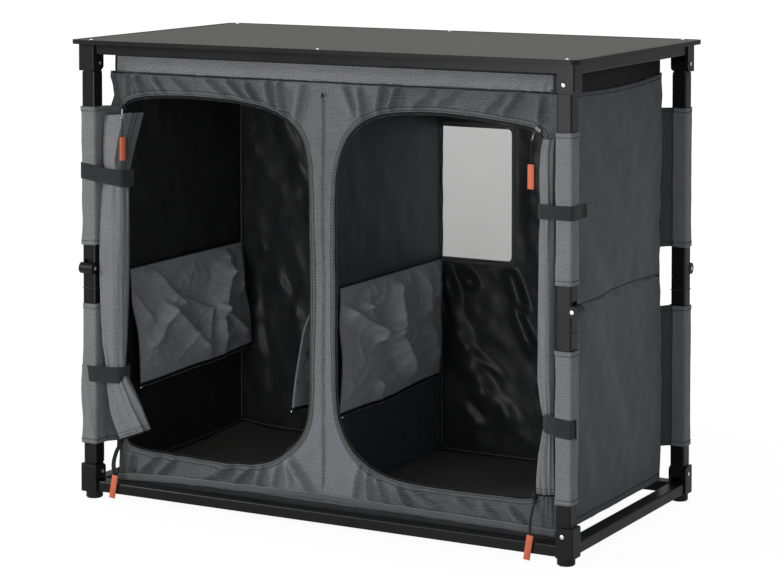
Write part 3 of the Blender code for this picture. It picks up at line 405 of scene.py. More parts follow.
TUBE = painted("satin_black_tube", (0.0055, 0.0057, 0.0062), 0.34, 2200.0, specular=0.24)
MOULDING = painted("black_moulding", (0.0055, 0.0055, 0.0059), 0.37, 1500.0, specular=0.24)
EDGING = painted("dark_edging", (0.0125, 0.0125, 0.0128), 0.36, 1800.0, specular=0.17)
STEEL = steel_finish()
NICKEL = painted("dark_nickel", (0.17, 0.17, 0.176), 0.34, 2400.0, 0.9)
WEBBING = ribbed("black_webbing", (0.019, 0.0197, 0.0212), 0.0022)
CORD = ribbed("black_cord", (0.012, 0.012, 0.0125), 0.003)
TAPE = painted("zip_tape", (0.0065, 0.0065, 0.007), 0.7, 900.0)
PIPING = painted("dark_piping", (0.054, 0.054, 0.056), 0.6, 900.0)
THREAD = painted("dark_thread", (0.018, 0.0185, 0.02), 0.8, 900.0)
TAB = tab_finish()


# Shared shapes

def wander(x, y, z, scale, seed=0.0):
    """Smooth noise from about -1 to 1."""
    return noise.noise(Vector((x * scale + seed, y * scale + 1.7 * seed, z * scale - seed)))


def ridge(x, y, z, scale, seed=0.0):
    """Noise with sharp crests, from 0 to 1."""
    return 1.0 - min(1.0, 2.2 * abs(wander(x, y, z, scale, seed)))


def bell(value, centre, width):
    return math.exp(-((value - centre) / width) ** 2)


def blend(low, high, share):
    return low + (high - low) * share


def smooth(value, start, end):
    part = min(1.0, max(0.0, (value - start) / (end - start)))
    return part * part * (3 - 2 * part)


def between(stations, place):
    """Values at a place, blended between stations that run downwards or upwards in their first number."""
    rising = stations[-1][0] > stations[0][0]
    line = stations if rising else stations[::-1]
    place = min(max(place, line[0][0]), line[-1][0])
    for lower, upper in zip(line, line[1:]):
        if place <= upper[0]:
            share = (place - lower[0]) / (upper[0] - lower[0])
            return [blend(low, high, share) for low, high in zip(lower[1:], upper[1:])]
    return list(line[-1][1:])


def folds(x, y, lines, left, right, soft=False):
    """Height of folds along lines: a slow rise on the left of each line and a quick fall on its right."""
    total = 0.0
    for x0, y0, x1, y1, tall, wide in lines:
        run_x, run_y = x1 - x0, y1 - y0
        length = math.hypot(run_x, run_y)
        along = ((x - x0) * run_x + (y - y0) * run_y) / length ** 2
        if -0.3 < along < 1.3:
            across = ((x - x0) * run_y - (y - y0) * run_x) / length
            reach = (left if (across < 0) == (run_y > 0) else right) * wide
            if abs(across) < reach:
                ends = smooth(along, -0.3, 0.15) * (1 - smooth(along, 0.85, 1.3))
                part = abs(across) / reach
                total += tall * ends * ((1 - part * part) ** 2 if soft else (1 - part) ** 1.5)
    return total


def settle(point):
    """Slack of the whole cloth body, the same wherever two of its pieces meet."""
    x, y, z = point
    free = smooth(z, WALL_LOW, WALL_LOW + 0.1) * (1 - smooth(z, WALL_TOP - 0.06, WALL_TOP))
    edge = 0.0016 * wander(x, y, z, 34, 3.0) * smooth(WALL_TOP + 0.05 - z, 0.0, 0.05)
    side = 1.0 if x > 0 else -1.0
    deep = 1.0 if y > 0 else -1.0
    across = smooth(abs(x), 0.3, BODY_X)
    along = smooth(abs(y), 0.1, BACK_Y)
    out = across * (edge + free * 0.004 * wander(x, y, z, 5, 1.0))
    if x < 0 and y < 0:
        out += between(LEFT_EDGE, z)[0] * smooth(-x, 0.392, BODY_X) * smooth(-y, 0.13, -FRONT_Y)
    return Vector((x + side * out, y + deep * along * (edge + free * 0.003 * wander(x, y, z, 4, 2.0)), z))


def circle(count):
    """Angle, cosine and sine of places round a circle."""
    return [(angle, math.cos(angle), math.sin(angle)) for angle in (2 * math.pi * k / count for k in range(count))]


def steps_of(count, to_value):
    """What to_value gives for each of the shares from 0 to 1."""
    return [to_value(k / count) for k in range(count + 1)]


def runs(points):
    """Distance of each point from the start of its line."""
    lengths = [0.0]
    for here, there in zip(points, points[1:]):
        lengths.append(lengths[-1] + (there - here).length)
    return lengths


def headings(points, closed=True):
    """For each point of a line, the step from the point before it to the one after it."""
    before = [points[-1 if closed else 0], *points[:-1]]
    after = [*points[1:], points[0 if closed else -1]]
    return [there - here for here, there in zip(before, after)]


def even(points, count, closed=True):
    """The same line as count points at even distances."""
    line = [Vector(point) for point in points]
    if closed:
        line.append(line[0].copy())
    lengths = runs(line)
    result = []
    place = 0
    for i in range(count):
        wanted = lengths[-1] * i / (count if closed else count - 1)
        while place < len(line) - 2 and lengths[place + 1] < wanted:
            place += 1
        share = (wanted - lengths[place]) / max(lengths[place + 1] - lengths[place], 1e-9)
        result.append(line[place].lerp(line[place + 1], min(1.0, share)))
    return result


def rounded(controls, count, closed=True):
    """Smooth line through the control points, as count points at even distances."""
    size = len(controls)
    dense = []
    for i in range(size if closed else size - 1):
        before, start, end, after = (
            Vector(controls[(i + step) % size if closed else min(max(i + step, 0), size - 1)]) for step in (-1, 0, 1, 2)
        )
        for step in range(10):
            t = step / 10
            dense.append(0.5 * (
                2 * start + (end - before) * t + (2 * before - 5 * start + 4 * end - after) * t * t
                + (3 * start - before - 3 * end + after) * t ** 3
            ))
    if not closed:
        dense.append(Vector(controls[-1]))
    return even(dense, count, closed)


def arc(x, y, radius, start, step, count):
    """Points of an arc round (x, y), with its angles in degrees."""
    angles = [math.radians(start + step * k) for k in range(count)]
    return [(x + radius * math.cos(angle), y + radius * math.sin(angle)) for angle in angles]


def rounded_box(low, high, radius, steps, count):
    """Rectangle with round corners, as count points at even distances."""
    edge = []
    for side_x, side_y, start in ((1, 1, 0), (-1, 1, 90), (-1, -1, 180), (1, -1, 270)):
        x = (high[0] if side_x > 0 else low[0]) - side_x * radius
        y = (high[1] if side_y > 0 else low[1]) - side_y * radius
        edge += arc(x, y, radius, start, 90 / steps, steps + 1)
    return even(edge, count)


def border_round(edge, middle, low, high):
    """The points of a rectangle straight behind those of an edge, as seen from middle, its corners among them."""
    border = []
    for point in edge:
        ray = point - middle
        reach = [((high if ray[k] > 0 else low)[k] - middle[k]) / ray[k] for k in (0, 1) if abs(ray[k]) > 1e-9]
        border.append(middle + ray * min(reach))
    for corner in ((low.x, low.y), (low.x, high.y), (high.x, low.y), (high.x, high.y)):
        nearest = min(range(len(edge)), key=lambda i: (border[i] - Vector(corner)).length)
        border[nearest] = Vector(corner)
    return border


def place_weave(bm, unroll):
    """UV map in metres along the flat cloth; unroll gives each vertex's place on it."""
    layer = bm.loops.layers.uv.new("weave")
    flat = {vert: unroll(vert) for vert in bm.verts}
    for face in bm.faces:
        for loop in face.loops:
            loop[layer].uv = flat[loop.vert]


def upright(vert):
    """Place on cloth that hangs across the front or the back."""
    return vert.co.x, vert.co.z


def put(name, data):
    """Object in the scene, from its mesh, light or camera."""
    item = bpy.data.objects.new(name, data)
    bpy.context.scene.collection.objects.link(item)
    return item


def piece(name, bm, *materials, body="base", slot=None, smooth_shade=True, packs=True):
    """Finished piece from a bmesh, on its body; what hangs on the cloth gets a mesh of its own."""
    mesh = bpy.data.meshes.new(name)
    bm.to_mesh(mesh)
    bm.free()
    for material in materials:
        mesh.materials.append(material)
    if smooth_shade:
        mesh.shade_smooth()
    item = put(name, mesh)
    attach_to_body(item, body)
    if packs and body.startswith(("base", "shelf", "zip")):
        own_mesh(item)
    elif packs and body == "top":
        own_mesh(item)
    return item


def thicken(item, thickness, offset=-1.0, inner=0):
    """Gives a sheet its thickness; inner is added to the material's number on the far side."""
    wall = item.modifiers.new("cloth", "SOLIDIFY")
    wall.thickness = thickness
    wall.offset = offset
    wall.material_offset = inner
    return item


def loft(rings, closed=True):
    """Surface through rings of points that all have the same number."""
    around = len(rings[0])
    columns = around if closed else around - 1
    bm = bmesh.new()
    bmesh.ops.create_grid(bm, x_segments=columns, y_segments=len(rings) - 1, size=0.5)
    verts = [[None] * (columns + 1) for _ring in rings]
    for vert in bm.verts:
        i = round((vert.co.x + 0.5) * columns)
        j = round((vert.co.y + 0.5) * (len(rings) - 1))
        verts[j][i] = vert
    for row, ring in zip(verts, rings):
        for i, vert in enumerate(row):
            vert.co = ring[i % around]
    if closed:
        bmesh.ops.weld_verts(bm, targetmap={row[-1]: row[0] for row in verts})
        verts = [row[:-1] for row in verts]
    return bm, verts


def cap(bm):
    """Closes the open ends of a tube."""
    bmesh.ops.holes_fill(bm, edges=[edge for edge in bm.edges if edge.is_boundary], sides=0)
    bmesh.ops.recalc_face_normals(bm, faces=bm.faces)


def face_along(bm, direction):
    """Turns a sheet's faces so that on the whole they look along direction."""
    bmesh.ops.recalc_face_normals(bm, faces=bm.faces)
    total = sum((face.normal * face.calc_area() for face in bm.faces), Vector())
    if total.dot(Vector(direction)) < 0:
        bmesh.ops.reverse_faces(bm, faces=bm.faces)


def sheet_of(columns, rows, to_point):
    """Sheet from to_point, which gives for shares u and v a point's place on the flat cloth and its real one."""
    rings = []
    flats = []
    for j in range(rows + 1):
        pairs = [to_point(i / columns, j / rows) for i in range(columns + 1)]
        flats.append([flat for flat, _point in pairs])
        rings.append([point for _flat, point in pairs])
    bm, verts = loft(rings, closed=False)
    unrolled = {vert: flat for row, line in zip(verts, flats) for vert, flat in zip(row, line)}
    place_weave(bm, unrolled.get)
    return bm


def skin(name, rings, look, materials, thickness, slot="lining"):
    """Cloth through rings, which hangs across the front or the back and looks along look."""
    bm, _verts = loft(rings)
    face_along(bm, look)
    place_weave(bm, upright)
    return thicken(piece(name, bm, *materials, slot=slot), thickness, inner=len(materials) - 1)


def cloth(name, columns, rows, to_point, look, materials, thickness=CLOTH, offset=-1.0, body="base", slot="lining",
          packs=True):
    """Sheet of cloth; its first material looks along look, and the second, if it has one, the other way."""
    bm = sheet_of(columns, rows, to_point)
    face_along(bm, look)
    item = piece(name, bm, *materials, body=body, slot=slot, packs=packs)
    return thicken(item, thickness, offset, len(materials) - 1)


def join(bm, part):
    """Adds one bmesh to another."""
    mesh = bpy.data.meshes.new("part")
    part.to_mesh(mesh)
    part.free()
    bm.from_mesh(mesh)
    bpy.data.meshes.remove(mesh)


def add_rope(bm, points, radius, closed=False, sides=8, flat=1.0, up=(0, -1, 0)):
    """Cord along points; flat squeezes its section along up."""
    points = [Vector(point) for point in points]
    side = Vector(up)
    rings = []
    for point, along in zip(points, headings(points, closed)):
        along.normalize()
        side = (side - along * side.dot(along)).normalized()
        across = along.cross(side)
        rings.append([
            point + (side * cosine * flat + across * sine) * radius for _angle, cosine, sine in circle(sides)
        ])
    if closed:
        rings.append(rings[0])
    tube, verts = loft(rings)
    cap(tube)
    lengths = runs([ring[0] for ring in rings])
    flats = {
        vert: (radius * 6.3 * i / sides, length)
        for row, length in zip(verts, lengths) for i, vert in enumerate(row)
    }
    place_weave(tube, flats.get)
    join(bm, tube)


def rope(name, points, radius, material, body="base", slot="lining", **looks):
    """Piece that is one cord."""
    bm = bmesh.new()
    add_rope(bm, points, radius, **looks)
    return piece(name, bm, material, body=body, slot=slot)


def add_block(bm, spot, along, out, size, bevel=0.0):
    """Block with its middle at spot, its length, width and thickness along, across and out."""
    made = bmesh.ops.create_cube(bm, size=1.0)["verts"]
    along = Vector(along).normalized()
    out = Vector(out)
    out = (out - along * out.dot(along)).normalized()
    turn = Matrix((along, out.cross(along), out)).transposed().to_4x4()
    bmesh.ops.transform(bm, matrix=Matrix.Translation(spot) @ turn @ Matrix.Diagonal((*size, 1)), verts=made)
    if bevel:
        edges = list({edge for vert in made for edge in vert.link_edges})
        bmesh.ops.bevel(
            bm, geom=edges, offset=bevel, offset_type="OFFSET", affect="EDGES", segments=2, profile=0.5, material=-1
        )


def add_stitches(bm, line, out, closed=True):
    """Row of threads along a line; out is the way they face, or a function of the place along the row."""
    points = [Vector(point) for point in line]
    count = max(3, int(runs(points)[-1] / STITCH))
    spots = even(points, count, closed)
    for i, (spot, along) in enumerate(zip(spots, headings(spots, closed))):
        facing = out(i / count) if callable(out) else out
        add_block(bm, spot + Vector(facing) * 0.0003, along, facing, (0.0034, 0.001, 0.0007))


def stitching(name, rows, closed=True, body="base"):
    """Rows of thread; each has its line and the way it faces."""
    bm = bmesh.new()
    for line, facing in rows:
        add_stitches(bm, line, facing, closed)
    piece(name + "_stitching", bm, THREAD, body=body, slot="lining", smooth_shade=False)


# Front cloth with its two doorways

class Doorway:
    """One half of the front: from the doorway's edge out to the half's own border."""

    def __init__(self, controls, side):
        self.name = "left" if side < 0 else "right"
        self.edge = rounded([metres(point) for point in controls], DOOR_POINTS)
        low = Vector((SEAM_X if side > 0 else -BODY_X, WALL_LOW))
        high = Vector((BODY_X if side > 0 else SEAM_X, WALL_TOP))
        middle = (low + high) / 2
        self.border = border_round(self.edge, middle, low, high)
        self.margin = [(there - here).length for here, there in zip(self.edge, self.border)]
        self.outward = []
        for point, along in zip(self.edge, headings(self.edge)):
            normal = Vector((along.y, -along.x)).normalized()
            self.outward.append(-normal if normal.dot(point - middle) < 0 else normal)


def front_relief(x, z, depth, share):
    """How far the front cloth stands out: folds drawn to the doorway's corners, turned hem and puckered seams."""
    rolled = smooth(abs(x), 0.375, 0.395) * smooth(z, 0.09, 0.12) * (1 - smooth(z, 0.66, 0.69))
    foot = between(HEM_LINE, x)[0]
    held = smooth(share, -0.15, 0.3) * (1 - rolled) * (1 - 0.6 * smooth(abs(x), 0.392, 0.402))
    held *= smooth(z, foot - 0.004, foot + 0.012) * (1 - 0.75 * smooth(z, 0.733, 0.743))
    relief = 0.0165 * folds(x, z, FRONT_FOLDS, 0.017, 0.008) * held
    relief += 0.0016 * wander(x, 0, z, 42, 9.0) * held
    relief += 0.0008 * (1 - smooth(depth, 0.0088, 0.0102))
    relief -= 0.0005 * sum(bell(depth, threads, 0.0008) for threads in HEM_THREADS)
    relief += 0.00025 * math.sin(x * 900) * math.sin(z * 900) * bell(depth, 0.005, 0.006)
    relief -= 0.0022 * bell(x, SEAM_X, 0.0018) * smooth(z, 0.055, 0.065) * (1 - smooth(z, 0.715, 0.722))
    relief += 0.001 * wander(x, 0, z, 120, 7.0) * bell(x, SEAM_X, 0.012)
    return relief + 0.003 * wander(x, 0, z, 7, 5.0) * (1 - rolled)


def front_surface(door, i, depth):
    """Point on the front cloth, at a distance from the doorway's edge towards the border."""
    share = min(1.0, depth / door.margin[i])
    x, z = door.edge[i].lerp(door.border[i], share)
    return settle((x, FRONT_Y - front_relief(x, z, depth, share), z))


def make_front():
    """Front cloth round both doorways, with its turned hems, and its stitches with the bar tack of the middle seam."""
    bm = bmesh.new()
    for door in DOORS:
        rings = [[front_surface(door, i, depth) for i in range(DOOR_POINTS)] for depth in HEM_ROWS]
        for j in range(1, 17):
            share = (j / 16) ** 1.15
            rings.append([
                front_surface(door, i, blend(HEM_ROWS[-1], margin, share))
                for i, margin in enumerate(door.margin)
            ])
        half, verts = loft(rings)
        turned = {vert for row in verts[:len(HEM_ROWS) - 1] for vert in row}
        for face in half.faces:
            middle = face.calc_center_median()
            if middle.z > 0.68 and middle.x < -0.4186 + (0.74 - middle.z) * 0.23:
                face.material_index = THIRD
            elif all(vert in turned for vert in face.verts):
                face.material_index = SECOND
        join(bm, half)
    face_along(bm, (0, -1, 0))
    place_weave(bm, upright)
    item = piece(
        "front_cloth", bm, GREY_CLOTH, QUIET_LINING, EDGE_CLOTH, QUIET_LINING, STRIP_CLOTH, QUIET_LINING, slot="cloth"
    )
    thicken(item, CLOTH, inner=1)
    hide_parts("front_panel")
    bm = bmesh.new()
    for door in DOORS:
        for depth in HEM_THREADS:
            add_stitches(bm, [front_surface(door, i, depth) for i in range(DOOR_POINTS)], (0, -1, 0))
    x = SEAM_X + 0.0034
    line = steps_of(60, lambda share: (x, blend(0.07, 0.71, share)))
    add_stitches(bm, [settle((x, FRONT_Y - front_relief(x, z, 0.02, 1.0), z)) for x, z in line], (0, -1, 0), False)
    add_block(bm, (SEAM_X, FRONT_Y - 0.0012, 0.7195), (0, 0, 1), (0, -1, 0), (0.006, 0.004, 0.0022), 0.0008)
    piece("front_stitching", bm, THREAD, slot="lining", smooth_shade=False)


def make_hem():
    """Rolled hem along the foot of the front, with a light cord along its crest as a painted highlight, and the black
    skirt that closes the foot behind it.
    """
    rings = []
    crest = []
    for x in steps_of(259, lambda share: blend(-BODY_X + 0.009, BODY_X - 0.002, share)):
        line = between(HEM_LINE, x)[0] + 0.0007 * wander(x, 0, 0, 40, 5.0)
        wave = 0.0012 * wander(x, 0, 0, 9, 2.0) + 0.0006 * wander(x, 0, 0, 60, 5.0)
        ring = []
        for _angle, cosine, sine in circle(16):
            wide = 0.0036 + 0.0006 * wander(x, cosine, sine, 30, 1.0)
            tall = 0.0056 + 0.0007 * wander(x, cosine, sine, 24, 8.0)
            ring.append((x, FRONT_Y - 0.0022 + wave - wide * cosine, line - 0.0058 + tall * sine))
        rings.append(ring)
        crest.append((x, FRONT_Y - 0.0044 + wave, line + 0.0002))
    bm, _verts = loft(rings)
    cap(bm)
    place_weave(bm, lambda vert: (vert.co.x, vert.co.z + vert.co.y))
    piece("front_hem", bm, EDGE_CLOTH, slot="cloth")
    # Thin cord of the light band cloth along the hem's crest: a painted highlight on the hem's top edge
    rope("front_hem_highlight_cord", crest, 0.0009, BAND_CLOTH, slot="cloth")

    def skirt(u, v):
        x = blend(-BODY_X + 0.004, BODY_X - 0.002, u)
        return (x, 0.03 * v), Vector((x, FRONT_Y + 0.0002 + 0.0005 * wander(x, v, 0, 20, 3.0), 0.019 + 0.03 * v))

    foot = cloth("front_skirt", 120, 6, skirt, (0, -1, 0), [QUIET_LINING])


def make_zip(door):
    """Zip tape behind the doorway's edge, its row of teeth and the corded line on its inner border."""
    widths = []
    for x, z in door.edge:
        post = smooth(0.075 - abs(x - SEAM_X), 0.0, 0.03) * (1 - smooth(z, 0.63, 0.66))
        widths.append(0.005 - 0.0022 * max(post, 1 - smooth(z, 0.1, 0.14)))
    rings = []
    for share, back in ((-0.8, 0.002), (0.5, 0.0024), (0.85, 0.0028), (1.0, 0.0022)):
        ring = []
        for i, (outward, width) in enumerate(zip(door.outward, widths)):
            x, z = door.edge[i] - outward * width * share
            ring.append(Vector((x, front_surface(door, i, 0.0).y + back, z)))
        rings.append(ring)
    skin("zip_tape_" + door.name, rings, (0, -1, 0), [TAPE], 0.0007)
    bm = bmesh.new()
    teeth = even(rings[2], ZIP_TEETH)
    for spot, along in zip(teeth, headings(teeth)):
        add_block(bm, spot - Vector((0, 0.0007, 0)), along, (0, -1, 0), (0.0013, 0.0026, 0.0012))
    piece("zip_teeth_" + door.name, bm, MOULDING, slot="lining", smooth_shade=False)
    border = [point + Vector((0, 0.0006, 0)) for point in rings[3][::2]]
    rope("zip_line_" + door.name, border, 0.0007, PIPING, closed=True, sides=6)


# Walls, floor, window and the band under the rails

def crinkle(u, v, seed):
    """Creases of the stiff lining: long slanting folds, small dents and dimples."""
    long_folds = ridge(u, v * 0.35, 0, 8, seed) ** 2 * 0.0012
    slanting = ridge(u + 0.4 * v, 0.5 * v, 0, 10, seed + 3) ** 3 * 0.001
    dents = wander(u, v, 0, 18, seed + 6) * 0.0022 + wander(u, v, 0, 45, seed + 9) * 0.0009
    return long_folds + slanting + dents


def swell_between(share):
    """Half a wave, nought at both ends."""
    return math.sin(math.pi * min(1.0, max(0.0, share)))


def side_seam(y):
    """Height of the seam across a side wall."""
    return SHELF_SEAM + 0.003 + 0.0035 * math.sin(13 * y + 1.0)


def side_point(side, y, z):
    """Point on a side wall: soft slanting folds, a puckered seam half way up and a slack top hem."""
    across = swell_between((y + BACK_Y) / (2 * BACK_Y))
    up = (z - WALL_LOW) / (WALL_TOP - WALL_LOW)
    held = across ** 0.5 * swell_between(up) ** 0.4
    out = 0.0035 * held + 0.005 * wander(y + 0.5 * z, z * 0.6, 0, 6, 4.0 + side) * held
    out += 0.005 * folds(y, z, SIDE_FOLDS, 0.085, 0.055, True) * held
    seam = side_seam(y)
    out += 0.0014 * wander(y, z, 0, 60, 8.0) * bell(z, seam, 0.012) - 0.0024 * bell(z, seam, 0.003)
    out += 0.001 * wander(y, z, 0, 26, 1.0) * held
    slack = 0.01 * bell(up, 1.0, 0.06) * across ** 0.7
    return settle((side * (BODY_X + out), y, z - slack))


def make_side_wall(side, name):
    """Side wall and its stitches: two rows at the seam, and one in each hem."""
    half = BACK_Y - 0.0012

    def to_point(u, v):
        y, z = blend(-half, half, u), blend(WALL_LOW, WALL_TOP, v)
        return (y, z), side_point(side, y, z)

    wall = cloth(name + "_cloth", 84, 150, to_point, (side, 0, 0), [SIDE_CLOTH, LINING], slot="dark_cloth")
    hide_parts(name)
    across = steps_of(60, lambda share: blend(0.004 - half, half - 0.004, share))
    heights = (side_seam, lambda y: side_seam(y) + 0.0042, lambda y: WALL_TOP - 0.007, lambda y: WALL_LOW + 0.012)
    rows = [([side_point(side, y, height(y)) for y in across], (side, 0, 0)) for height in heights]
    stitching(name, rows, closed=False)


def make_back_wall():
    """Back wall round its window, crinkled towards the inside, with the window's black binding."""
    window_low, window_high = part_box("window_net")
    low = Vector((window_low.x + 0.01, window_low.z + 0.01))
    high = Vector((window_high.x - 0.01, window_high.z - 0.01))
    edge = rounded_box(low, high, 0.01, 6, 440)
    border = border_round(edge, (low + high) / 2, Vector((-BODY_X, WALL_LOW)), Vector((BODY_X, WALL_TOP)))
    rings = []
    for share in steps_of(70, lambda share: share ** 1.1):
        ring = []
        for start, end in zip(edge, border):
            point = start.lerp(end, share)
            x, z = point
            away = (point - start).length
            held = smooth(away, 0.008, 0.04) * smooth((end - point).length, 0.0, 0.04)
            broken = 0.8 + 1.4 * wander(x, 0, z, 21, 2.0)
            inward = crinkle(x, z, 5.0) + 0.0095 * broken * folds(x, z, BACK_FOLDS, 0.036, 0.018, True)
            ring.append(settle((x, BACK_Y - CLOTH - inward * held - 0.001 * bell(away, 0.004, 0.003), z)))
        rings.append(ring)
    wall = skin("back_wall_cloth", rings, (0, 1, 0), [SIDE_CLOTH, LINING], CLOTH, "dark_cloth")
    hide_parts("back_wall")
    bm = bmesh.new()
    for y in (BACK_Y - 0.0024, BACK_Y + 0.0006):
        add_rope(bm, [(x, y, z) for x, z in edge[::2]], 0.002, closed=True)
    margin = Vector((0.006, 0.006))
    outline = rounded_box(low - margin, high + margin, 0.016, 6, 440)
    add_stitches(bm, [(x, BACK_Y, z) for x, z in outline], (0, 1, 0))
    piece("window_binding", bm, TAPE, slot="lining")


def make_window():
    """Clear film behind the back wall's opening, a little slack."""
    low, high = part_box("window_net")

    def to_point(u, v):
        x, z = blend(low.x + 0.003, high.x - 0.003, u), blend(low.z + 0.003, high.z - 0.003, v)
        return (x, z), Vector((x, low.y - 0.0011 + 0.0012 * wander(x, z, 0, 14, 6.0), z))

    film = cloth("window_film", 40, 36, to_point, (0, -1, 0), [FILM], 0.0006, 0.0, slot="window")
    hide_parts("window_net")


def make_partition():
    """Wall between the rooms, crinkled, and flat along the shelves' seam."""
    low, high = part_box("partition")

    def to_point(u, v):
        y, z = blend(low.y, high.y, u), blend(low.z, high.z, v)
        held = (math.sin(math.pi * u) * math.sin(math.pi * v)) ** 0.5
        near_seam = 1 - 0.85 * bell(z, SHELF_SEAM, 0.03)
        return (y, z), Vector(((crinkle(y, z, 9.0) - 0.003) * held * near_seam * 0.8, y, z))

    wall = cloth("partition_cloth", 70, 120, to_point, (1, 0, 0), [BLUE_LINING, QUIET_LINING], 0.0012, 0.0)
    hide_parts("partition")


def make_floor_cloth():
    """Floor, which lies low along its edges and is raised in the left room's far corner."""
    low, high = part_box("floor_panel")

    def to_point(u, v):
        x, y = blend(low.x, high.x, u), blend(low.y, high.y, v)
        wave = 0.0008 * wander(x, y, 0, 8, 2.0) - 0.0012 * bell(min(u, 1 - u, v, 1 - v), 0.0, 0.01)
        wave += 0.009 * smooth(-x, 0.34, 0.424) * smooth(y, 0.06, 0.206)
        return (x, y), Vector((x, y, high.z - 0.0016 + wave))

    floor = cloth("floor_cloth", 90, 46, to_point, (0, 0, 1), [FLOOR_LINING], 0.003, packs=False)
    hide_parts("floor_panel")


def make_inner_piping():
    """Corded seams in the corners of both rooms."""
    wall = BODY_X - 0.0036
    left, right = -0.0026, 0.0028
    back = BACK_Y - 0.0048
    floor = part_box("floor_panel")[1].z + 0.0012
    raised = floor + 0.009
    seams = [
        [(-wall, back, raised), (-wall, back, 0.2), (-wall + 0.001, back - 0.001, 0.45), (-wall, back, 0.735)],
        [(-wall, back, raised), (-0.34, back, floor + 0.002), (-0.15, back, floor), (left, back, floor)],
        [(-wall, back, raised), (-wall, 0.12, floor + 0.003), (-wall, -0.05, floor), (-wall, -0.2, floor)],
        [(right, back, floor), (0.2, back, floor), (wall, back, floor)],
    ]
    for x, top in ((wall, 0.735), (left, 0.733), (right, 0.733)):
        seams.append([(x, back, floor), (x, back, 0.4), (x, back, top)])
        seams.append([(x, back, floor), (x, 0.0, floor), (x, -0.2, floor)])
    bm = bmesh.new()
    for seam in seams:
        line = [
            point + Vector((0.001 * wander(*point, 30, 2.0), -0.0006, 0.0006 * wander(*point, 25, 6.0)))
            for point in rounded(seam, 60, closed=False)
        ]
        add_rope(bm, line, 0.002, up=(0.3, -0.9, 0.3))
    piece("inner_piping", bm, PIPING, slot="lining")


def make_band():
    """Band of cloth under the rails: light at the front, black at the sides and the back."""
    half_x = BAND_HIGH.x + 0.001
    half_y = BAND_HIGH.y + 0.001
    plan = rounded_box((-half_x, -half_y), (half_x, half_y), 0.006, 4, 700)
    low = WALL_TOP - 0.0024
    creases = [
        (x, foot, top_x, 0.772, tall, wide) for x, foot, top_x, tall, wide in (
            (0.3, low, 0.335, 0.7, 1), (0.345, low, 0.372, 1, 0.8), (0.372, low, 0.392, 1, 0.7),
            (0.395, low, 0.405, 1.2, 0.6), (0.4135, low, 0.414, 1.4, 0.5), (-0.4, 0.75, -0.391, 0.7, 0.8),
            (0.18, low, 0.23, 0.5, 1.2), (-0.25, low, -0.22, 0.4, 1.2), (0.02, low, 0.06, 0.4, 1.2),
        )
    ]
    rings = []
    for j in range(17):
        z = blend(low, BAND_HIGH.z, j / 16)
        ring = []
        for x, y in plan:
            under = smooth(abs(x), half_x - 0.004, half_x) * (1 - smooth(j, 0, 4))
            out = 0.0009 * wander(x, y, z, 30, 3.0)
            out += smooth(-y, half_y - 0.01, half_y) * 0.003 * folds(x, z, creases, 0.014, 0.007)
            out += 0.001 * bell(z, low + 0.0035, 0.003) - 0.0007 * bell(z, low + 0.007, 0.001)
            out -= 0.0035 * under
            # Outwards, square to each side and turning quickly at the corners
            normal = Vector(((x / half_x) ** 9, (y / half_y) ** 9)).normalized()
            ring.append((x + normal.x * out, y + normal.y * out, z - 0.014 * under))
        rings.append(ring)
    bm, _verts = loft(rings)
    bmesh.ops.recalc_face_normals(bm, faces=bm.faces)
    place_weave(bm, lambda vert: (vert.co.x if abs(vert.co.y) > abs(vert.co.x) * 0.49 else vert.co.y, vert.co.z))
    for face in bm.faces:
        middle = face.calc_center_median()
        if middle.y < -half_y + 0.004 and middle.x > -0.4175 and middle.z < 0.77:
            face.material_index = 0 if middle.x < 0.4135 else SECOND
        else:
            face.material_index = THIRD
    band = piece(
        "top_band_cloth", bm, BAND_CLOTH, QUIET_LINING, STRIP_CLOTH, QUIET_LINING, TAPE, QUIET_LINING,
        body="top", slot="cloth",
    )
    thicken(band, 0.0012, inner=1)
    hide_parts("top_band")
    # Black cord along the band's foot: its seam, black as painted shadow under the band's lower edge
    seam = [
        (x, -half_y - 0.004, low - 0.0002 + 0.0004 * wander(x, 0, 0, 30, 1.0))
        for x in (i * 0.0035 - 0.4235 for i in range(243))
    ]
    rope("top_band_seam_shadow", seam, 0.0011, TAPE, body="top", up=(0, 0, 1))


# Half shelves: side of the wall that they hang on, height of the hem, how far its front corner drops, depth of its
# front and back end, how far these stand off the wall, and the belly's power
HALF_SHELVES = {
    "shelf_left_wall": (1, 0.2025, 0.0125, -0.163, 0.196, 0.02, 0.026, 1.0),
    "shelf_partition_right": (1, 0.1915, 0.0065, -0.196, 0.168, 0.016, 0.013, 1.0),
    "shelf_partition_left": (-1, 0.1795, 0.0, -0.165, 0.19, 0.089, 0.03, 0.45),
    "shelf_right_wall": (-1, 0.196, 0.004, -0.164, 0.19, 0.024, 0.02, 1.0),
}


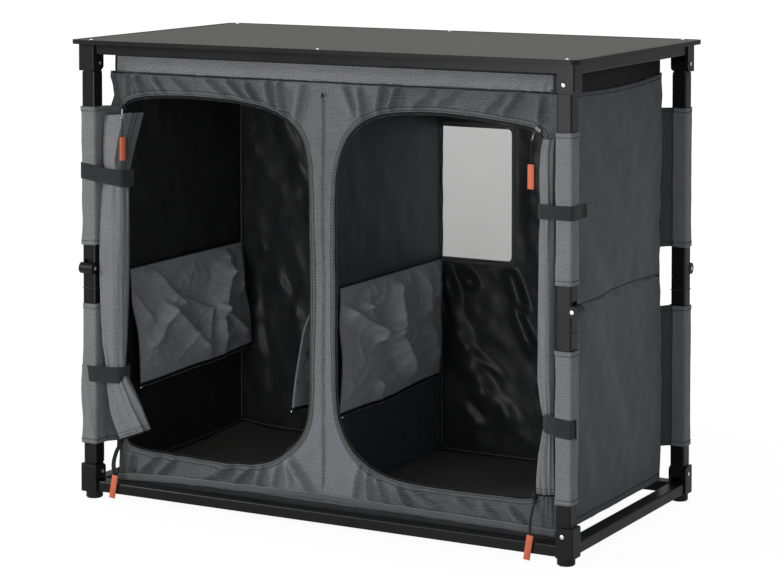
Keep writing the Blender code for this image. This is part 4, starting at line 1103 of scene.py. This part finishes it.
def make_half_shelf(name):
    """Half shelf hanging from its seam: slack, creased cloth with a zip along its free edge."""
    side, hem, drooped, hem_front, hem_back, off_front, off_back, power = HALF_SHELVES[name]
    low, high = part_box(name)
    wall = low.x if side > 0 else high.x
    seed = 3.0 * side + 10 * wall
    lines, tall = (LEFT_CREASES, 0.0185) if "wall" in name else (RIGHT_CREASES, 0.024)

    def surface(u, v, out=0.0, drop=0.0):
        front = blend(low.y, hem_front, v) - 0.01 * bell(v, 0.3, 0.18)
        back = blend(high.y, hem_back, v) - 0.01 * bell(v, 0.45, 0.18)
        inner = smooth(u, -0.01, 0.09) * (1 - smooth(u, 0.91, 1.01)) * (1 - 0.75 * smooth(v, 0.8, 1.0))
        loose = smooth(v, 0.0, 0.1) * inner
        relief = tall * folds(u, v, lines, 0.12, 0.034) + 0.0016 * wander(u, v, 0, 7, seed)
        relief += 0.0024 * ridge(u + 0.4 * v, 0.7 * v, 0, 5.5, seed) ** 3 + 0.0014 * ridge(u, v, 0, 11, seed + 2) ** 3
        off = blend(off_front, off_back, u) * v ** power + 0.006 * math.sin(math.pi * v)
        off += relief * loose + 0.001 * wander(u, v, 0, 40, seed) * (loose + bell(v, 0.05, 0.05))
        z = blend(high.z, hem, v) - drooped * v * (1 - u) ** 1.6
        z -= v * (0.004 * math.sin(math.pi * u) - 0.003 * wander(u, 0, 0, 3, seed))
        return Vector((wall + side * (0.0012 + off + out), blend(front, back, u), z - drop))

    def edge_strip(u, v):
        return (u * 0.38, v * 0.012), surface(u, 1.0, 0.0006 - 0.001 * v, 0.0066 * v - 0.0022)

    shelf = cloth(
        name + "_cloth", 110, 80, lambda u, v: ((u * 0.38, v * 0.21), surface(u, v)), (side, 0, 0), [SHELF_CLOTH],
        body=name, slot="dark_cloth",
    )
    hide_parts(name)
    edge = cloth(name + "_zip", 110, 3, edge_strip, (side, 0, 0), [TAPE], 0.0014, body=name)
    bm = bmesh.new()
    add_rope(bm, steps_of(80, lambda u: surface(u, 1.0, 0.001, -0.0026)), 0.0007, sides=6)
    for end in (0.0, 1.0):
        add_rope(bm, steps_of(40, lambda v: surface(end, v, 0.0004)), 0.0007, sides=6)
    add_rope(bm, steps_of(60, lambda share: surface(0.02 + 0.96 * share, 1.0, 0.0004, 0.0044)), 0.0006, sides=6)
    piece(name + "_piping", bm, EDGE_CLOTH, body=name, slot="cloth")
    rope(name + "_seam", steps_of(40, lambda u: surface(u, 0.0, 0.001, -0.0012)), 0.0015, TAPE)
    bm = bmesh.new()
    front_pin = 0.035 if name == "shelf_partition_right" else 0.012
    for u, radius in ((front_pin, 0.0026), (1.0, 0.0016)):
        made = bmesh.ops.create_uvsphere(bm, u_segments=12, v_segments=8, radius=radius)["verts"]
        spot = surface(u, 1.0, 0.0014, 0.0052) - Vector((0, 0.003, 0)) * (1 - 2 * u)
        bmesh.ops.transform(bm, matrix=Matrix.Translation(spot) @ Matrix.Diagonal((1, 2.1, 1, 1)), verts=made)
    piece(name + "_pins", bm, STEEL, body=name)


def make_roll(name):
    """Door rolled up with its cloth gathered at the straps, and the zip and stitched hem at its foot."""
    stations = ROLLS[name]
    top, bottom = stations[0][0], stations[-1][0]
    seed = 2.0 if name == "left" else 6.0
    back = FRONT_Y - 0.0006
    rings = []
    for height in steps_of(230, lambda share: blend(top, bottom, share)):
        left, right, front, slope = between(stations, height)
        centre = Vector(((left + right) / 2, (front + back) / 2))
        half = Vector(((right - left) / 2, (back - front) / 2))
        pinch = sum(bell(height, strap, 0.045) for strap in STRAPS_ON)
        fan = smooth(height, STRAPS_ON[1], bottom)
        loose = fan + smooth(height, STRAPS_ON[0], top)
        ring = []
        for angle, cosine, sine in circle(ROLL_POINTS):
            lobe = noise.noise(Vector((cosine * 1.3 + seed, sine * 1.3, height * 3.0)))
            pleat = noise.noise(Vector((cosine * 3.4, sine * 3.4 + seed, height * 5.5)))
            crease = ridge(cosine * 2.2, sine * 2.2, height * 4.0 + 0.8 * angle, 1.0, seed)
            small = noise.noise(Vector((cosine * 5, sine * 5, height * 22 + seed)))
            swell = 0.06 * lobe + (0.05 + 0.14 * min(1.0, pinch + loose)) * pleat
            swell += 0.02 * small - 0.07 * crease * (0.3 + pinch + 0.4 * loose)
            swell += fan * (0.075 * math.sin(7 * angle + seed + 0.8 * math.sin(height * 40)) - 0.04)
            lap = (angle - 4.1 - 0.35 * math.sin(height * 9)) % (2 * math.pi)
            swell -= 0.07 * smooth(lap, 0.0, 0.06) * (1 - smooth(lap, 0.06, 1.3))
            reach = min(1.05, 0.97 + swell) * (abs(cosine) ** 2.4 + abs(sine) ** 2.4) ** (-1 / 2.4)
            x = centre.x + half.x * cosine * reach
            y = centre.y + half.y * sine * reach
            ring.append(Vector((x, min(y, back), height + slope * (x - centre.x))))
        rings.append(ring)
    hem = rings[-1]
    threads = []
    for line in (rings[-3], rings[-5]):
        middle = sum(line, Vector()) / ROLL_POINTS
        threads.append((line, lambda share, c=line, m=middle: (c[int(share * ROLL_POINTS)] - m).normalized()))
    for end, depth in ((0, -1), (-1, 1)):
        outer = rings[end]
        middle = sum(outer, Vector()) / ROLL_POINTS
        for share, dip in ((0.86, 0.0004), (0.8, 0.01), (0.5, 0.014), (0.1, 0.014)):
            inner = [point.lerp(middle, 1 - share) + Vector((0, 0, depth * dip)) for point in outer]
            rings.insert(0 if end == 0 else len(rings), inner)
    bm, verts = loft(rings)
    cap(bm)
    flats = {vert: (0.13 * i / ROLL_POINTS, vert.co.z) for ring in verts for i, vert in enumerate(ring)}
    place_weave(bm, flats.get)
    for face in bm.faces:
        middle = face.calc_center_median()
        left, right, _front, _slope = between(stations, middle.z)
        share = (middle.x - left) / (right - left) + 0.05 * wander(0, 0, middle.z, 16, 4.0)
        limit = 0.62 + 0.6 * smooth(0.6 - middle.z, 0.0, 0.11)
        face.material_index = 1 if name == "left" and share > limit else 0
    roll = piece("door_roll_" + name + "_cloth", bm, RIBBED_CLOTH, STRIP_CLOTH, slot="cloth")
    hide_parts("door_roll_" + name)
    rope("door_roll_" + name + "_zip", hem, 0.0017, TAPE, closed=True, up=(0, 0, 1))
    stitching("door_roll_" + name, threads)


# Straps, and sleeves round the legs

def ribbon(plan, low, high, rows, shape):
    """Upright band of cloth along a plan line; shape moves each point by its place along and up."""
    lengths = runs(plan)
    last = len(plan) - 1

    def to_point(u, v):
        i = round(u * last)
        spot = Vector((*plan[i].xy, blend(low, high, v)))
        return (lengths[i], spot.z), shape(spot, lengths[i], v, i)

    return sheet_of(last, rows, to_point)


def strap_plan(side, left, right, front, tail):
    """Plan line of a strap, from the body's corner behind the roll, round it and the leg to its free tail."""
    out = HALF_TUBE + 0.0022
    leg_x = LEG_X
    inner_x = side * (right if side < 0 else left) - 0.0012
    outer_x = leg_x + out
    back = FRONT_Y - 0.0008
    points = [
        (BODY_X + 0.001, back),
        (BODY_X - 0.014, back),
        (inner_x + 0.006, back),
        (inner_x + 0.0012, back - 0.006),
        (inner_x, (front + back) / 2),
        (inner_x + 0.0016, front + 0.006),
        (inner_x + 0.008, front - 0.0008),
        ((inner_x + leg_x) / 2 - 0.004, (front + LEG_Y - out) / 2 - 0.0006),
        (leg_x - out + 0.002, LEG_Y - out),
        (leg_x, LEG_Y - out - 0.0006),
        (outer_x - 0.003, LEG_Y - out),
        (outer_x, LEG_Y - out + 0.003),
        (outer_x + 0.0008, LEG_Y),
    ]
    if tail > LEG_Y + HALF_TUBE:
        points += [(outer_x + 0.0008, LEG_Y + out), (outer_x + 0.0015, (LEG_Y + out + tail) / 2)]
    points.append((outer_x + 0.004, tail))
    return rounded([(side * x, y, 0.0) for x, y in points], 120, closed=False)


def make_strap(level, name, low, high, tail, slant=0.0):
    """Strap from low to high, whose free tail ends at the depth tail; slant lets it climb or fall."""
    side = -1 if name == "left" else 1
    left, right, front, _slope = between(ROLLS[name], (low + high) / 2)
    plan = strap_plan(side, left, right, front, tail)

    def shape(spot, along, v, _i):
        spot.z += slant * side * (side * LEG_X - spot.x) + 0.0012 * wander(along, v, 0, 40, low * 50)
        return spot

    bm = ribbon(plan, low, high, 10, shape)
    face_along(bm, (0, -1, 0))
    strap = piece(f"strap_{level}_{name}", bm, WEBBING, slot="lining")
    thicken(strap, 0.0013, 0.0)
    runs(plan)[-1]


def sleeve_plan(web):
    """Plan of a sleeve in the leg frame: web from the body's corner, once round the tube, and back."""
    outer = HALF_TUBE + 0.0011
    centre = outer - 0.0035
    tip = HALF_TUBE + web
    return even([
        (-tip + 0.0009, tip + 0.0009),
        (-outer + 0.002, outer + 0.0014),
        *arc(centre, centre, 0.0035, 90, -30, 4),
        *arc(centre, -centre, 0.0035, 0, -30, 4),
        *arc(-centre, -centre, 0.0035, -90, -30, 4),
        (-outer - 0.0014, outer - 0.002),
        (-tip - 0.0009, tip - 0.0009),
    ], SLEEVE_POINTS, closed=False)


def make_sleeve(level, corner):
    """Sleeve round a leg, and the two layers of cloth from it to the body's corner, with stitched hems."""
    name = f"{level}_sleeve_{corner}"
    leg = f"{level}_leg_{corner}"
    low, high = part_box(name)
    x, y, turn = CORNERS[corner]
    place = Matrix.Translation((x, y, 0)) @ Matrix.Rotation(turn, 4, "Z")
    plan = sleeve_plan(0.015)
    half = (SLEEVE_POINTS - 1) / 2
    seed = x * 9 + y * 31 + low.z * 7
    slack_foot = name == "lower_sleeve_fl"

    def shape(spot, along, v, i):
        away = Vector((spot.x, spot.y, 0)).normalized()
        on_web = smooth(abs(i - half) / half, 0.6, 0.8)
        swell = 0.0008 * wander(along * 2, v * 0.24, 0, 30, seed) + 0.0006
        swell += 0.0013 * wander(along, v * 0.24, 0, 14, seed + 2) * (1 - on_web)
        foot = (0.005 if slack_foot else 0.0014) * bell(v, 0.0, 0.08)
        swell += foot * (0.5 + 0.5 * math.sin(along * 60 + seed))
        swell += 0.0012 * bell(v, 1.0, 0.04) * (0.5 + 0.5 * math.sin(along * 45 + seed))
        if slack_foot:
            gathers = [(0.05, 0.0, 0.066, 0.55, 1, 1), (0.088, 0.0, 0.07, 0.5, 1, 1)]
            swell += 0.004 * folds(along, v, gathers, 0.014, 0.009)
        hem = 0.0005 * (bell(v, 0.014, 0.014) + bell(v, 0.986, 0.014))
        hem -= 0.0003 * (bell(v, 0.036, 0.004) + bell(v, 0.964, 0.004))
        spot += away * (max(-0.0004, swell) + hem)
        if v in (0.0, 1.0):
            spot.z += 0.0014 * wander(along, v, 0, 24, seed + 4)
        return place @ spot

    bm = ribbon(plan, low.z, high.z, 60, shape)
    bmesh.ops.recalc_face_normals(bm, faces=bm.faces)
    outwards = Vector((x, y, 0))
    outer = max(bm.faces, key=lambda face: face.calc_center_median().dot(outwards))
    if outer.normal.dot(outwards) < 0:
        bmesh.ops.reverse_faces(bm, faces=bm.faces)
    for face in bm.faces:
        local = place.inverted() @ face.calc_center_median()
        face.material_index = 1 if local.x < 0.001 - HALF_TUBE and local.y > HALF_TUBE - 0.005 else 0
    web_cloth = GREY_CLOTH if corner[0] == "f" else STRIP_CLOTH
    sleeve = piece(name + "_cloth", bm, RIBBED_CLOTH, web_cloth, body=leg, slot="cloth")
    thicken(sleeve, 0.0007)
    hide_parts(name)
    sewn = range(3, SLEEVE_POINTS - 3)
    facing = [(place.to_3x3() @ Vector((*plan[i], 0))).normalized() for i in sewn]
    rows = []
    for v in (0.03, 0.97):
        height = blend(low.z, high.z, v)
        line = [shape(Vector((*plan[i], height)), 0.145 * i / (SLEEVE_POINTS - 1), v, i) for i in sewn]
        rows.append((line, lambda share: facing[int(share * (len(sewn) - 1))]))
    stitching(name, rows, closed=False, body=leg)


# Zip pulls, in millimetres: slider and the way it lies, ends of the puller, points of the cord, ends of the tab and the
# way it faces, the cord's width, and the link of a puller that reaches over the roll
ZIP_PULLS = {
    "top_left": (
        (-400, -212, 681.5), (0.8, 0, -0.6), ((-380, -247, 683), (-380, -250, 667)),
        ((-380, -250, 667), (-377.2, -251, 660), (-377.6, -251.2, 648), (-377.2, -251.2, 634)),
        ((-377.2, -251.2, 635.5), (-377.6, -251.2, 594.8)), (0.93, -0.36, 0), 2.2,
        ((-399, -214.5, 681.2), (-390, -231, 685), (-380, -247.2, 682.8)),
    ),
    "top_right": (
        (391, -212.5, 683.5), (0.85, 0, -0.55), ((385, -214.5, 680), (384, -219, 668)),
        ((384, -219, 668), (385, -224, 656), (387, -230, 642), (389, -234.5, 629.5)),
        ((389, -234.5, 630.5), (389, -235, 591)), (0.0, -1, 0), 2.2, (),
    ),
    "bottom_left": (
        (-412, -212, 101), (0.35, 0, -0.93), ((-412.8, -215, 99.5), (-413.2, -214.8, 88.5)),
        ((-413, -215, 89), (-411.5, -227, 79.5), (-406, -242, 65), (-398.5, -250, 47)),
        ((-397, -250.5, 47.5), (-403.5, -251.2, 7)), (0.1, -1, 0), 8.5, (),
    ),
    "bottom_right": (
        (386, -212, 96), (0.5, 0, -0.86), ((386.8, -215, 94.5), (387.2, -214.8, 83.3)),
        ((387.2, -215, 83.8), (389, -226.5, 76.5), (393, -242, 62), (396.5, -250.5, 42.5)),
        ((397, -250.5, 44), (390.8, -251.2, 4)), (0.1, -1, 0), 5.0, (),
    ),
}


def make_zip_pull(name):
    """Slider, puller or loop, cord and tab."""
    slider, lie, puller, bends, tab_ends, facing, width, link = ZIP_PULLS[name]
    body = "zip_pull_" + name
    spot = Vector(metres(slider))
    facing = Vector(facing)
    width = width / 1000
    bm = bmesh.new()
    add_block(bm, spot, lie, (0, -1, 0), (0.0115, 0.007, 0.0032), 0.0012)
    add_block(bm, spot + Vector((0, -0.0022, 0)), lie, (0, -1, 0), (0.006, 0.0022, 0.0022), 0.0006)
    piece("zip_slider_" + name, bm, NICKEL if name == "top_right" else MOULDING)
    top, low = (Vector(metres(point)) for point in puller)
    bm = bmesh.new()
    if name.startswith("top"):
        add_block(bm, (top + low) / 2, low - top, (0, -1, 0), ((top - low).length, 0.003, 0.0014), 0.0006)
        add_block(bm, low, low - top, (0, -1, 0), (0.0045, 0.0046, 0.0018), 0.0008)
        if link:
            add_rope(bm, rounded([metres(point) for point in link], 24, closed=False), 0.0011, sides=10)
        piece("zip_puller_" + name, bm, NICKEL, body=body)
    else:
        add_rope(bm, steps_of(8, lambda share: top.lerp(low, share)), width / 2, sides=10, flat=0.5)
        piece("zip_loop_" + name, bm, CORD, slot="lining")
    line = rounded([metres(point) for point in bends], 24, closed=False)
    cord = rope(body + "_cord", line, width / 2, CORD, body=body, sides=12, flat=0.5 if width > 0.004 else 1.0)
    top, low = (Vector(metres(point)) for point in tab_ends)
    middle = (top + low) / 2
    length = (top - low).length
    bm = bmesh.new()
    add_block(bm, middle, low - top, facing, (length, 0.0112, 0.0024), 0.0009)
    raised = middle + facing.normalized() * 0.0009
    add_block(bm, raised, low - top, facing, (length - 0.006, 0.0062, 0.0014), 0.0006)
    tab = piece(body + "_tab", bm, TAB, body=body, slot="tab")
    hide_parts(body)
    round(runs(line)[-1], 4)


# Rivets and the lines of the hinges

def dome(bm, radius, height, place):
    """Rivet head whose foot lies at the origin of place and whose crown looks along its z."""
    made = bmesh.ops.create_uvsphere(bm, u_segments=20, v_segments=12, radius=1.0)["verts"]
    for vert in made:
        if vert.co.z < -0.01:
            vert.co.z = -0.15
    bmesh.ops.transform(bm, matrix=place @ Matrix.Diagonal((radius, radius, height, 1)), verts=made)


def make_frame_rivets():
    """Heads of the pins in brackets and knees, and the fine line round each leg under its knee."""
    outer = HALF_TUBE + 0.0004
    square = even([(-outer, -outer, 0), (outer, -outer, 0), (outer, outer, 0), (-outer, outer, 0)], 48)
    for corner, (x, y, turn) in CORNERS.items():
        spin = Matrix.Rotation(turn, 4, "Z")
        for body, offset, height, reach in (
            ("base", 0.0, LOWER_PIN, HALF_TUBE + 0.003),
            ("top", 0.0, UPPER_PIN, HALF_TUBE + 0.003),
            ("upper_leg_" + corner, HALF_TUBE + 0.002, KNEE_PIN, HALF_TUBE + 0.0008),
        ):
            bm = bmesh.new()
            place = Matrix.Translation((x, y, height)) @ spin
            for side in (-1, 1):
                lie = Matrix.Rotation(-side * math.pi / 2, 4, "X")
                dome(bm, 0.0043, 0.0017, place @ Matrix.Translation((offset, side * reach, 0)) @ lie)
            piece(f"rivets_{body.split('_')[0]}_{corner}", bm, STEEL, body=body, packs=False)
        bm = bmesh.new()
        points = [spin @ point + Vector((x, y, KNEE_PIN - 0.035)) for point in square]
        add_rope(bm, points, 0.0005, closed=True, sides=6, up=(0, 0, 1))
        piece("knee_line_" + corner, bm, PIPING, body="lower_leg_" + corner, packs=False)


def make_table_rivets():
    bm = bmesh.new()
    for x, y in ((-445, -247), (458, -250), (-456, 245), (447, 250), (10, -253), (-6, 250)):
        dome(bm, 0.0037, 0.0021, Matrix.Translation((x / 1000, y / 1000, TABLE_TOP)))
    piece("table_rivets", bm, STEEL, body="top", packs=False)


# Camera, light and floor: the photograph's width, half height, focal length and centre in pixels, the studio's light
# from all sides, and how strongly smooth pieces mirror its white

PHOTO_WIDTH = 780.0
PHOTO_MIDDLE = 292.5
FOCAL_LENGTH = 2571.02
CENTRE_ABOVE = 14.865
SENSOR = 36.0
AMBIENT = 0.26
MIRRORED = 0.24


def shown_white(tree):
    """How strongly the plain white of the studio is seen, by the camera, in mirrors and through clear pieces."""
    path = tree.nodes.new("ShaderNodeLightPath")
    seen, mirrored, through = (
        Signal(tree, path.outputs[f"Is {kind} Ray"]) for kind in ("Camera", "Glossy", "Transmission")
    )
    return (seen + mirrored * MIRRORED + through).clipped()


def make_stage():
    """Round studio floor, white to the eye, whose shadows fade towards its rim."""
    bm = bmesh.new()
    bmesh.ops.create_circle(bm, cap_ends=True, segments=64, radius=14.0)
    mesh = bpy.data.meshes.new("studio_floor")
    bm.to_mesh(mesh)
    bm.free()
    floor = put("studio_floor", mesh)
    pale = Finish("pale_floor", (0.8, 0.8, 0.8), 0.9, Specular_IOR_Level=0.1)
    away = pale.node("VectorMath", {"operation": "LENGTH"}, {0: pale.place()}, 1)
    share = ((away - 0.8) * (1 / 1.4)).clipped() * 0.11 + 0.89
    glow = pale.node("Emission", {}, {"Color": (1.0, 1.0, 1.0, 1.0), "Strength": 1.07})
    blend = pale.tree.nodes.new("ShaderNodeMixShader")
    attach(pale.tree, blend.inputs[0], shown_white(pale.tree) * share)
    pale.tree.links.new(pale.shader.outputs[0], blend.inputs[1])
    attach(pale.tree, blend.inputs[2], glow)
    pale.tree.links.new(blend.outputs[0], pale.tree.nodes["Material Output"].inputs["Surface"])
    mesh.materials.append(pale.material)


def make_world():
    world = bpy.data.worlds.new("studio")
    bpy.context.scene.world = world
    world.use_nodes = True
    tree = world.node_tree
    background = tree.nodes["Background"]
    attach(tree, background.inputs["Strength"], shown_white(tree) * (1.0 - AMBIENT) + AMBIENT)
    background.inputs["Color"].default_value = (1, 1, 1, 1)


def softbox(name, place, target, size, watts):
    data = bpy.data.lights.new(name, "AREA")
    data.shape = "RECTANGLE"
    data.size, data.size_y = size
    data.energy = watts
    lamp = put(name, data)
    lamp.location = place
    lamp.rotation_euler = (Vector(target) - Vector(place)).to_track_quat("-Z", "Y").to_euler()


def make_camera():
    data = bpy.data.cameras.new("camera")
    data.sensor_width = SENSOR
    data.sensor_fit = "HORIZONTAL"
    data.lens = FOCAL_LENGTH * SENSOR / PHOTO_WIDTH
    data.shift_y = (-CENTRE_ABOVE - PHOTO_MIDDLE) / PHOTO_WIDTH
    camera = put("camera", data)
    camera.location = (2.13125, -3.87768, 1.1118)
    camera.rotation_euler = (math.pi / 2 - 0.04921, 0.0, 0.5011)
    bpy.context.scene.camera = camera


def dress_frame():
    """Materials of the solids that stay."""
    kinds = (
        ("table_board", BOARD), ("table_edging", EDGING), ("bottom_bracket", MOULDING), ("top_bracket", MOULDING),
        ("knee", MOULDING), ("bottom_rail", TUBE), ("top_rail", TUBE), ("lower_leg", TUBE), ("upper_leg", TUBE),
    )
    for name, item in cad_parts.items():
        for start, material in kinds:
            if name.startswith(start):
                item.material_slots[0].material = material


make_camera()
make_stage()
make_world()
softbox("key", (-4.3, -4.1, 2.8), (0, 0, 0.4), (1.5, 1.5), 128)
softbox("low_front", (-0.12, -2.35, 0.6), (0.05, 0, 0.4), (0.95, 1.1), 17)
softbox("side_fill", (2.9, -3.2, 1.5), (0, 0, 0.4), (1.2, 1.2), 14)
softbox("overhead", (0.1, 0.6, 3.4), (0, 0, 0.8), (2.4, 2.0), 26)

for zip_name in ZIP_PULLS:
    make_zip_pull(zip_name)
DOORS = [Doorway(DOOR_LEFT, -1), Doorway(DOOR_RIGHT, 1)]
make_front()
for doorway in DOORS:
    make_zip(doorway)
make_floor_cloth()
make_hem()
make_side_wall(-1, "left_wall")
make_side_wall(1, "right_wall")
make_back_wall()
make_window()
make_partition()
make_inner_piping()
make_band()
for shelf_name in HALF_SHELVES:
    make_half_shelf(shelf_name)
for roll_name in ROLLS:
    make_roll(roll_name)
make_strap("upper", "left", 0.557, 0.585, -0.222, -0.14)
make_strap("lower", "left", 0.206, 0.233, -0.222)
make_strap("upper", "right", 0.547, 0.57, -0.202)
make_strap("lower", "right", 0.204, 0.234, -0.24, 0.1)
for sleeve_corner in CORNERS:
    make_sleeve("lower", sleeve_corner)
    make_sleeve("upper", sleeve_corner)
make_frame_rivets()
make_table_rivets()
dress_frame()

bpy.context.scene.view_settings.view_transform = "Standard"
